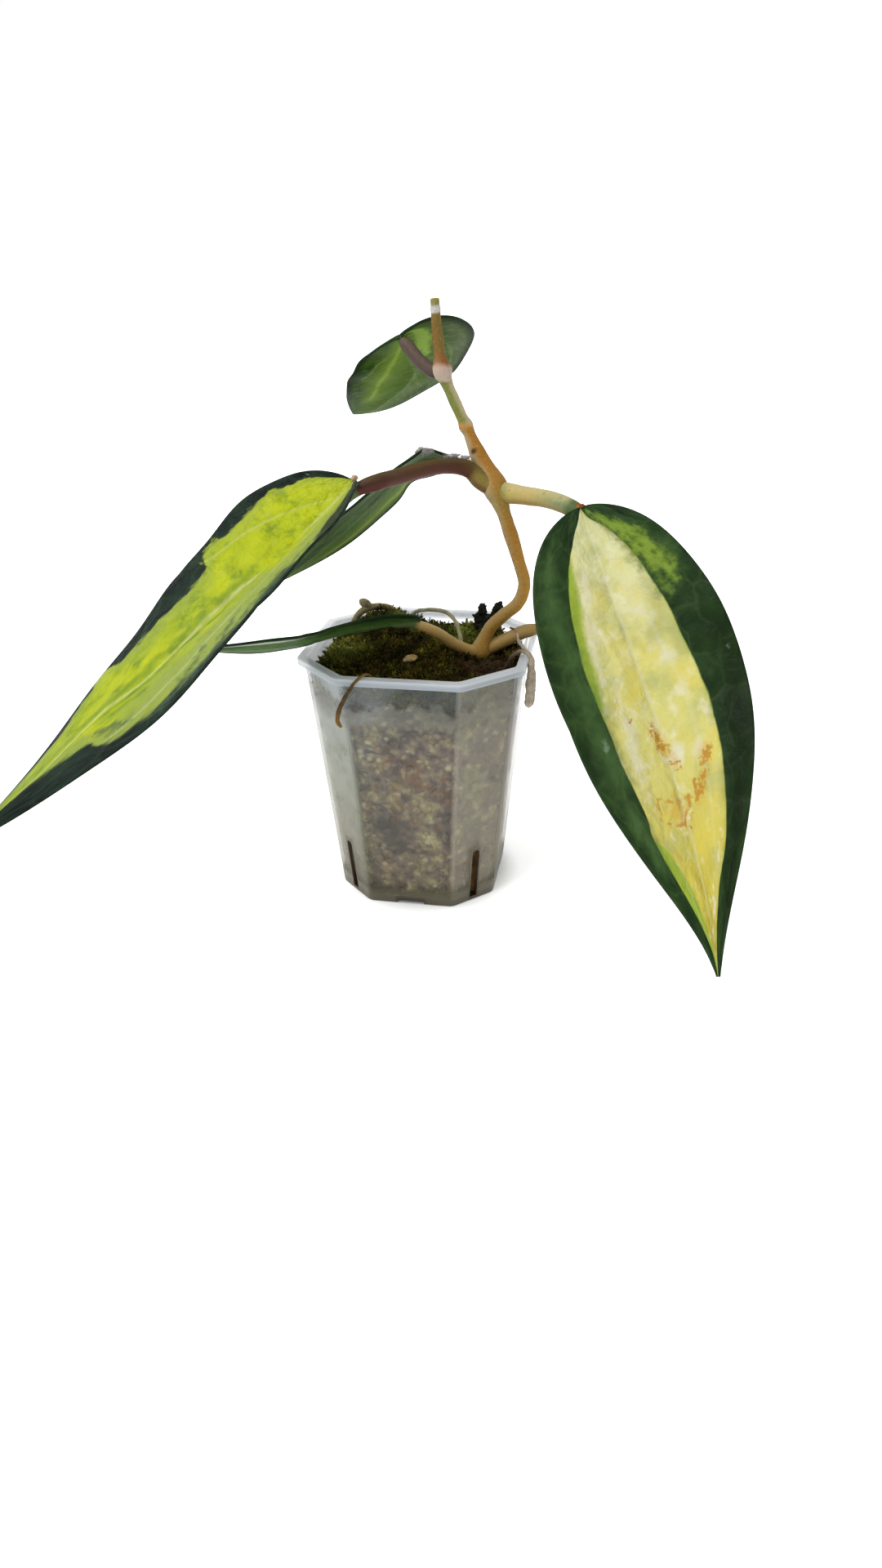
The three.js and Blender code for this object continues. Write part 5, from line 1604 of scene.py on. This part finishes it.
class HOYA_OT_mix(bpy.types.Operator):
    """Fill the pot with potting mix"""
    bl_idname = "hoya.mix"
    bl_label = "Potting mix"

    def execute(self, context):
        pot, mix_settings = context.scene.hoya_pot, context.scene.hoya_mix
        material = damp_mix()
        body = make_mix_body(pot, material, mix_settings.seed)
        chips = scatter(
            body, lump(2), material, density=float(mix_settings.chips), seed=mix_settings.seed,
            smallest=0.25 * mix_settings.chip_size, largest=mix_settings.chip_size, slimmest=0.35,
            thickness=0.3, lean=0.35, roughen=0.9 * MM, roughen_size=1.8 * MM)
        plugs = [make_slot_filling(pot, material, side) for side in range(4)]
        whole = join("mix", [body, chips, *plugs])
        keep_inside(whole, pot, CHIP_GAP)
        put_piece("mix_grains", whole, "mix", "potting_mix")
        return {"FINISHED"}


class HOYA_OT_moss(bpy.types.Operator):
    """Cover the mix with a cushion of moss shoots"""
    bl_idname = "hoya.moss"
    bl_label = "Moss"

    def execute(self, context):
        pot, mix_settings = context.scene.hoya_pot, context.scene.hoya_mix
        material = damp_moss()
        bed = make_moss_bed(pot, material, mix_settings.moss_inset / MM)
        shoots = scatter(
            part_of(bed, [CHIP_SPOT, SOIL_SPOT], False), make_shoot(), material,
            density=float(mix_settings.shoots), seed=mix_settings.seed,
            smallest=0.35 * mix_settings.shoot_size, largest=mix_settings.shoot_size, slimmest=0.8,
            thickness=1.0, lean=0.9, roughen=0.5 * MM, roughen_size=1.2 * MM)
        crumbs = scatter(
            part_of(bed, [SOIL_SPOT], True), lump(), material, density=600000.0,
            seed=mix_settings.seed, smallest=0.3 * MM, largest=1.1 * MM, slimmest=0.4, thickness=0.6,
            lean=0.8, roughen=0.5 * MM, roughen_size=0.8 * MM)
        put_piece("moss_cushion", join("moss", [bed, shoots, crumbs]), "moss", "moss")
        return {"FINISHED"}


class HOYA_OT_bark(bpy.types.Operator):
    """Lay the dark bark and the tan chip on the moss"""
    bl_idname = "hoya.bark"
    bl_label = "Bark"

    def execute(self, context):
        dark = crumbly("Charred bark", "#14150f", "#3c3c31", 1.4)
        lumps = [make_chunk(centre, size, turn, rough, 3.0 * number, dark, 0.75)
                 for number, (centre, size, turn, rough) in enumerate(DARK_LUMPS)]
        put_piece("bark_dark_lumps", join("bark_dark", lumps), "bark_dark", "bark_dark")
        tan = crumbly("Pale bark", "#d9a24c", "#fdebc0", 2.2)
        x, y, z = CHIP_SPOT[0]
        chip = make_chunk((x, y, z + 0.3), (2.7, 1.35, 1.1), 0.8, 0.3, 5.0, tan, 1.3)
        put_piece("bark_chip_flake", chip, "bark_tan", "bark_chip")
        return {"FINISHED"}


class HOYA_OT_stem(bpy.types.Operator):
    """Build the main stem with its joints, bud ring and cut end"""
    bl_idname = "hoya.stem"
    bl_label = "Stem"

    def execute(self, context):
        points = [Vector(p) for p in STEM_ROUTE]
        places, radii, shares = [], [], []
        for i in range(STEM_STEPS + 1):
            t = i / STEM_STEPS
            spot = route_point(points, t)
            swell = sum(grow * math.exp(-((spot.z - z) / reach) ** 2) for z, grow, reach in SWELLINGS)
            places.append(spot)
            radii.append(mix(STEM_FOOT, STEM_TOP, t) + swell)
            shares.append(t)
        relief = context.scene.hoya_plant.bark_relief / MM
        bark = tubes([(places, radii, shares)], young_bark(), sides=28, relief=relief, relief_size=2.4)
        put_piece("stem_bark", bark, "stem", "stem")
        return {"FINISHED"}


class HOYA_OT_leaves(bpy.types.Operator):
    """Build the six leaves on their petioles"""
    bl_idname = "hoya.leaves"
    bl_label = "Leaves"

    def execute(self, context):
        settings = context.scene.hoya_plant
        # After each ramp come the upper side's painted highlight and the lower side's painted shade; the
        # maroon stalk's lower side is its own purple-red.
        tan = petiole_skin("Tan petiole skin", [
            (0.0, "#8c9446"), (0.2, "#a39e50"), (0.32, "#d0bc70"), (0.6, "#d6be74"), (0.85, "#b0ae74"),
            (1.0, "#8c9a6c")], "#e2d294", "#b8944a", 1.06)
        maroon = petiole_skin("Maroon petiole skin", [
            (0.0, "#a89246"), (0.24, "#94823c"), (0.33, "#62481e"), (0.46, "#523018"), (0.8, "#5a3420"),
            (1.0, "#4e2c20")], "#62501e", "#6e3428", 1.2)
        mauve = petiole_skin("Mauve petiole skin", [
            (0.0, "#604644"), (0.5, "#625049"), (1.0, "#5a4a3c")], "#746252", "#4a382e", 1.45)
        golden = petiole_skin("Golden petiole skin", [
            (0.0, "#cb9c4a"), (0.5, "#dcb266"), (1.0, "#dcb870")], "#ecca86", "#c0964a", 1.3)
        fluff = crumbly("Dry grey fluff", "#d6d2c6", "#ffffff", 0.8)
        knobs = {
            "leaf_right_upper": [((46, -19.3, 120.3), (1.1, 0.9, 0.6),
                                  crumbly("Orange gland", "#8f4f22", "#cf8a4a", 1.0))],
            "leaf_left_upper": [((-11.2, -25.2, 127.1), (0.9, 0.7, 0.9),
                                 crumbly("Beige gland", "#c79a70", "#ecd2b4", 1.0))],
        }
        plans = [
            ("leaf_right_upper", "leaf_cream", CREAM_LOOK, UNDER_PALE, tan, (190, 84)),
            ("leaf_left_upper", "leaf_lime", LIME_LOOK, UNDER_LIME, maroon, (150, 64)),
            ("leaf_back_left", "leaf_under", PLAIN_LOOK, UNDER_BACK, golden, (100, 40)),
            ("leaf_top", "leaf_under", PLAIN_LOOK, UNDER_TOP, mauve, (110, 60)),
            ("leaf_left_lower", "leaf_under", PLAIN_LOOK, UNDER_LOW, golden, (90, 44)),
            ("leaf_right_lower", "leaf_dark", PLAIN_LOOK, UNDER_GREEN, golden, (90, 40)),
        ]
        for number, (name, slot, upper_look, under_look, skin, (rows, columns)) in enumerate(plans):
            leaf = LEAVES[name]
            upper = leaf_skin(f"Waxy leaf skin {number + 1}", leaf, upper_look)
            under = leaf_underside(f"Leaf underside {number + 1}", leaf, under_look)
            blade = make_blade(leaf, settings, upper, under, rows, columns, settings.quilt / MM,
                               10.0 * number)
            for look in (upper_look, under_look):
                for drawn in look["marks"]:
                    add_distance(blade, leaf, drawn)
            stalk = tubes([petiole_route(leaf)], skin, sides=20, relief=0.25, relief_size=2.6)
            parts = [blade, stalk]
            for centre, size, material in knobs.get(name, []):
                parts.append(make_chunk(centre, size, 0.5, 0.3, 2.0, material, 1.0, 2))
            if name == "leaf_back_left":
                scraps = [make_chunk(centre, size, turn, 0.8, 4.0, fluff, 1.0, 2)
                          for centre, size, turn in FLUFF]
                whole = join("scraps", scraps)
                parts += [whole, scatter(whole, make_spike(), fluff, density=4e7, seed=3,
                                         smallest=0.5 * MM, largest=1.3 * MM, lean=1.0,
                                         roughen=0.3 * MM, **HAIRS)]
            put_piece(f"{name}_blade", join(name, parts), slot, name)
        return {"FINISHED"}


class HOYA_OT_roots(bpy.types.Operator):
    """Build the aerial roots over the lip and on the moss"""
    bl_idname = "hoya.roots"
    bl_label = "Aerial roots"

    def execute(self, context):
        red = dry_root("Reddish aerial root", [
            (0.0, "#8a7038"), (0.35, "#937a44"), (0.5, "#5a4a2c"), (0.7, "#6a5430"), (0.85, "#946c34"),
            (1.0, "#b08844")], 0.9)
        beige = dry_root("Beige aerial root", [
            (0.0, "#5c4a38"), (0.3, "#a08a70"), (0.45, "#d9c8b0"), (1.0, "#e4d4bc")], 0.8)
        pale = dry_root("Pale aerial root", [(0.0, "#b0a47c"), (1.0, "#a89c74")], 0.8)
        cream = dry_root("Cream aerial root", [(0.0, "#d9d3ab"), (1.0, "#cfc89a")], 0.8)
        plans = [("root_front", "root_red", red), ("root_right", "root_pale", beige),
                 ("root_back", "root_pale", pale), ("root_arch", "root_pale", cream)]
        for name, slot, material in plans:
            routes = [bar_route(route, 0.4) for route in ROOTS[name]]
            fuzzy = name == "root_right"
            skin = tubes(routes, material, sides=14, relief=FUZZY_RELIEF if fuzzy else ROOT_RELIEF,
                         relief_size=ROOT_LUMP)
            if fuzzy:
                hairs = scatter(skin, make_spike(), material, density=5e6, seed=5, smallest=0.4 * MM,
                                largest=1.1 * MM, lean=0.9, roughen=0.2 * MM, **HAIRS)
                skin = join(name, [skin, hairs])
            put_piece(f"{name}_strand", skin, slot, name)
        return {"FINISHED"}


class HOYA_OT_stage(bpy.types.Operator):
    """Set the floor, the light and the camera"""
    bl_idname = "hoya.stage"
    bl_label = "Stage"

    def execute(self, context):
        settings = context.scene.hoya_stage
        scene = context.scene
        half = FLOOR_HALF
        mesh = bpy.data.meshes.new("floor")
        mesh.from_pydata([(-half, -half, 0), (half, -half, 0), (half, half, 0), (-half, half, 0)], [],
                         [(0, 1, 2, 3)])
        material, tree = start_material("White paper")
        away = add(tree, "VectorMath", [mm_place(tree)], "LENGTH")
        glow = add(tree, "MapRange", [away, *GLOW_SPAN, 0.0, settings.glow])
        finish_material(tree, settings.floor, Roughness=0.9, Specular_IOR_Level=0.1,
                        Emission_Color="#ffffff", Emission_Strength=glow)
        mesh.materials.append(material)
        floor = bpy.data.objects.new("floor", mesh)
        scene.collection.objects.link(floor)

        world = bpy.data.worlds.new("Even white light")
        world.use_nodes = True
        background = world.node_tree.nodes["Background"]
        background.inputs["Color"].default_value = (1, 1, 1, 1)
        background.inputs["Strength"].default_value = settings.sky
        scene.world = world

        lamp = bpy.data.lights.new("key", "SUN")
        lamp.energy, lamp.angle = settings.key, math.radians(SUN_SPREAD)
        key = bpy.data.objects.new("key", lamp)
        key.rotation_euler = Vector(SUN_WAY).to_track_quat("-Z", "Y").to_euler()
        scene.collection.objects.link(key)

        yaw, pitch, roll = (math.radians(a) for a in CAMERA_TURN)
        forward = Vector((math.sin(yaw) * math.cos(pitch), math.cos(yaw) * math.cos(pitch),
                          -math.sin(pitch)))
        right = Vector((math.cos(yaw), -math.sin(yaw), 0))
        up = right.cross(forward)
        x_axis = right * math.cos(roll) + up * math.sin(roll)
        y_axis = up * math.cos(roll) - right * math.sin(roll)
        camera = bpy.data.objects.new("camera", bpy.data.cameras.new("camera"))
        turn = Matrix((x_axis, y_axis, -forward)).transposed().to_4x4()
        camera.matrix_world = Matrix.Translation(CAMERA_PLACE) @ turn
        camera.data.sensor_fit, camera.data.sensor_height = "VERTICAL", SENSOR_HEIGHT
        camera.data.lens, camera.data.clip_start = settings.lens, 0.01
        scene.collection.objects.link(camera)
        scene.camera = camera
        scene.view_settings.view_transform = "Standard"
        return {"FINISHED"}


class HOYA_PT_panel(bpy.types.Panel):
    """Sizes, colours and pieces of the potted hoya"""
    bl_idname = "HOYA_PT_panel"
    bl_label = "Potted hoya"
    bl_space_type = "VIEW_3D"
    bl_region_type = "UI"
    bl_category = "Hoya"

    def draw(self, context):
        for settings, title, _ in GROUPS:
            box = self.layout.box()
            box.label(text=title)
            group = getattr(context.scene, settings)
            for name in group.__annotations__:
                box.prop(group, name)
        for operator in OPERATORS:
            self.layout.operator(operator.bl_idname)


GROUPS = [
    ("hoya_pot", "Pot", HoyaPotSettings),
    ("hoya_mix", "Mix and moss", HoyaMixSettings),
    ("hoya_plant", "Plant", HoyaPlantSettings),
    ("hoya_stage", "Stage", HoyaStageSettings),
]
OPERATORS = [HOYA_OT_stage, HOYA_OT_pot, HOYA_OT_mix, HOYA_OT_moss, HOYA_OT_bark, HOYA_OT_stem,
             HOYA_OT_leaves, HOYA_OT_roots]


def register():
    for name, _, group in GROUPS:
        bpy.utils.register_class(group)
        setattr(bpy.types.Scene, name, bpy.props.PointerProperty(type=group))
    for item in [*OPERATORS, HOYA_PT_panel]:
        bpy.utils.register_class(item)


def unregister():
    for item in reversed([*OPERATORS, HOYA_PT_panel]):
        bpy.utils.unregister_class(item)
    for name, _, group in reversed(GROUPS):
        delattr(bpy.types.Scene, name)
        bpy.utils.unregister_class(group)


def main():
    register()
    TREES["tube"] = make_tube_tree()
    TREES["scatter"] = make_scatter_tree()
    for operator in OPERATORS:
        getattr(bpy.ops.hoya, operator.bl_idname.split(".")[1])()


if __name__ == "__main__":
    main()
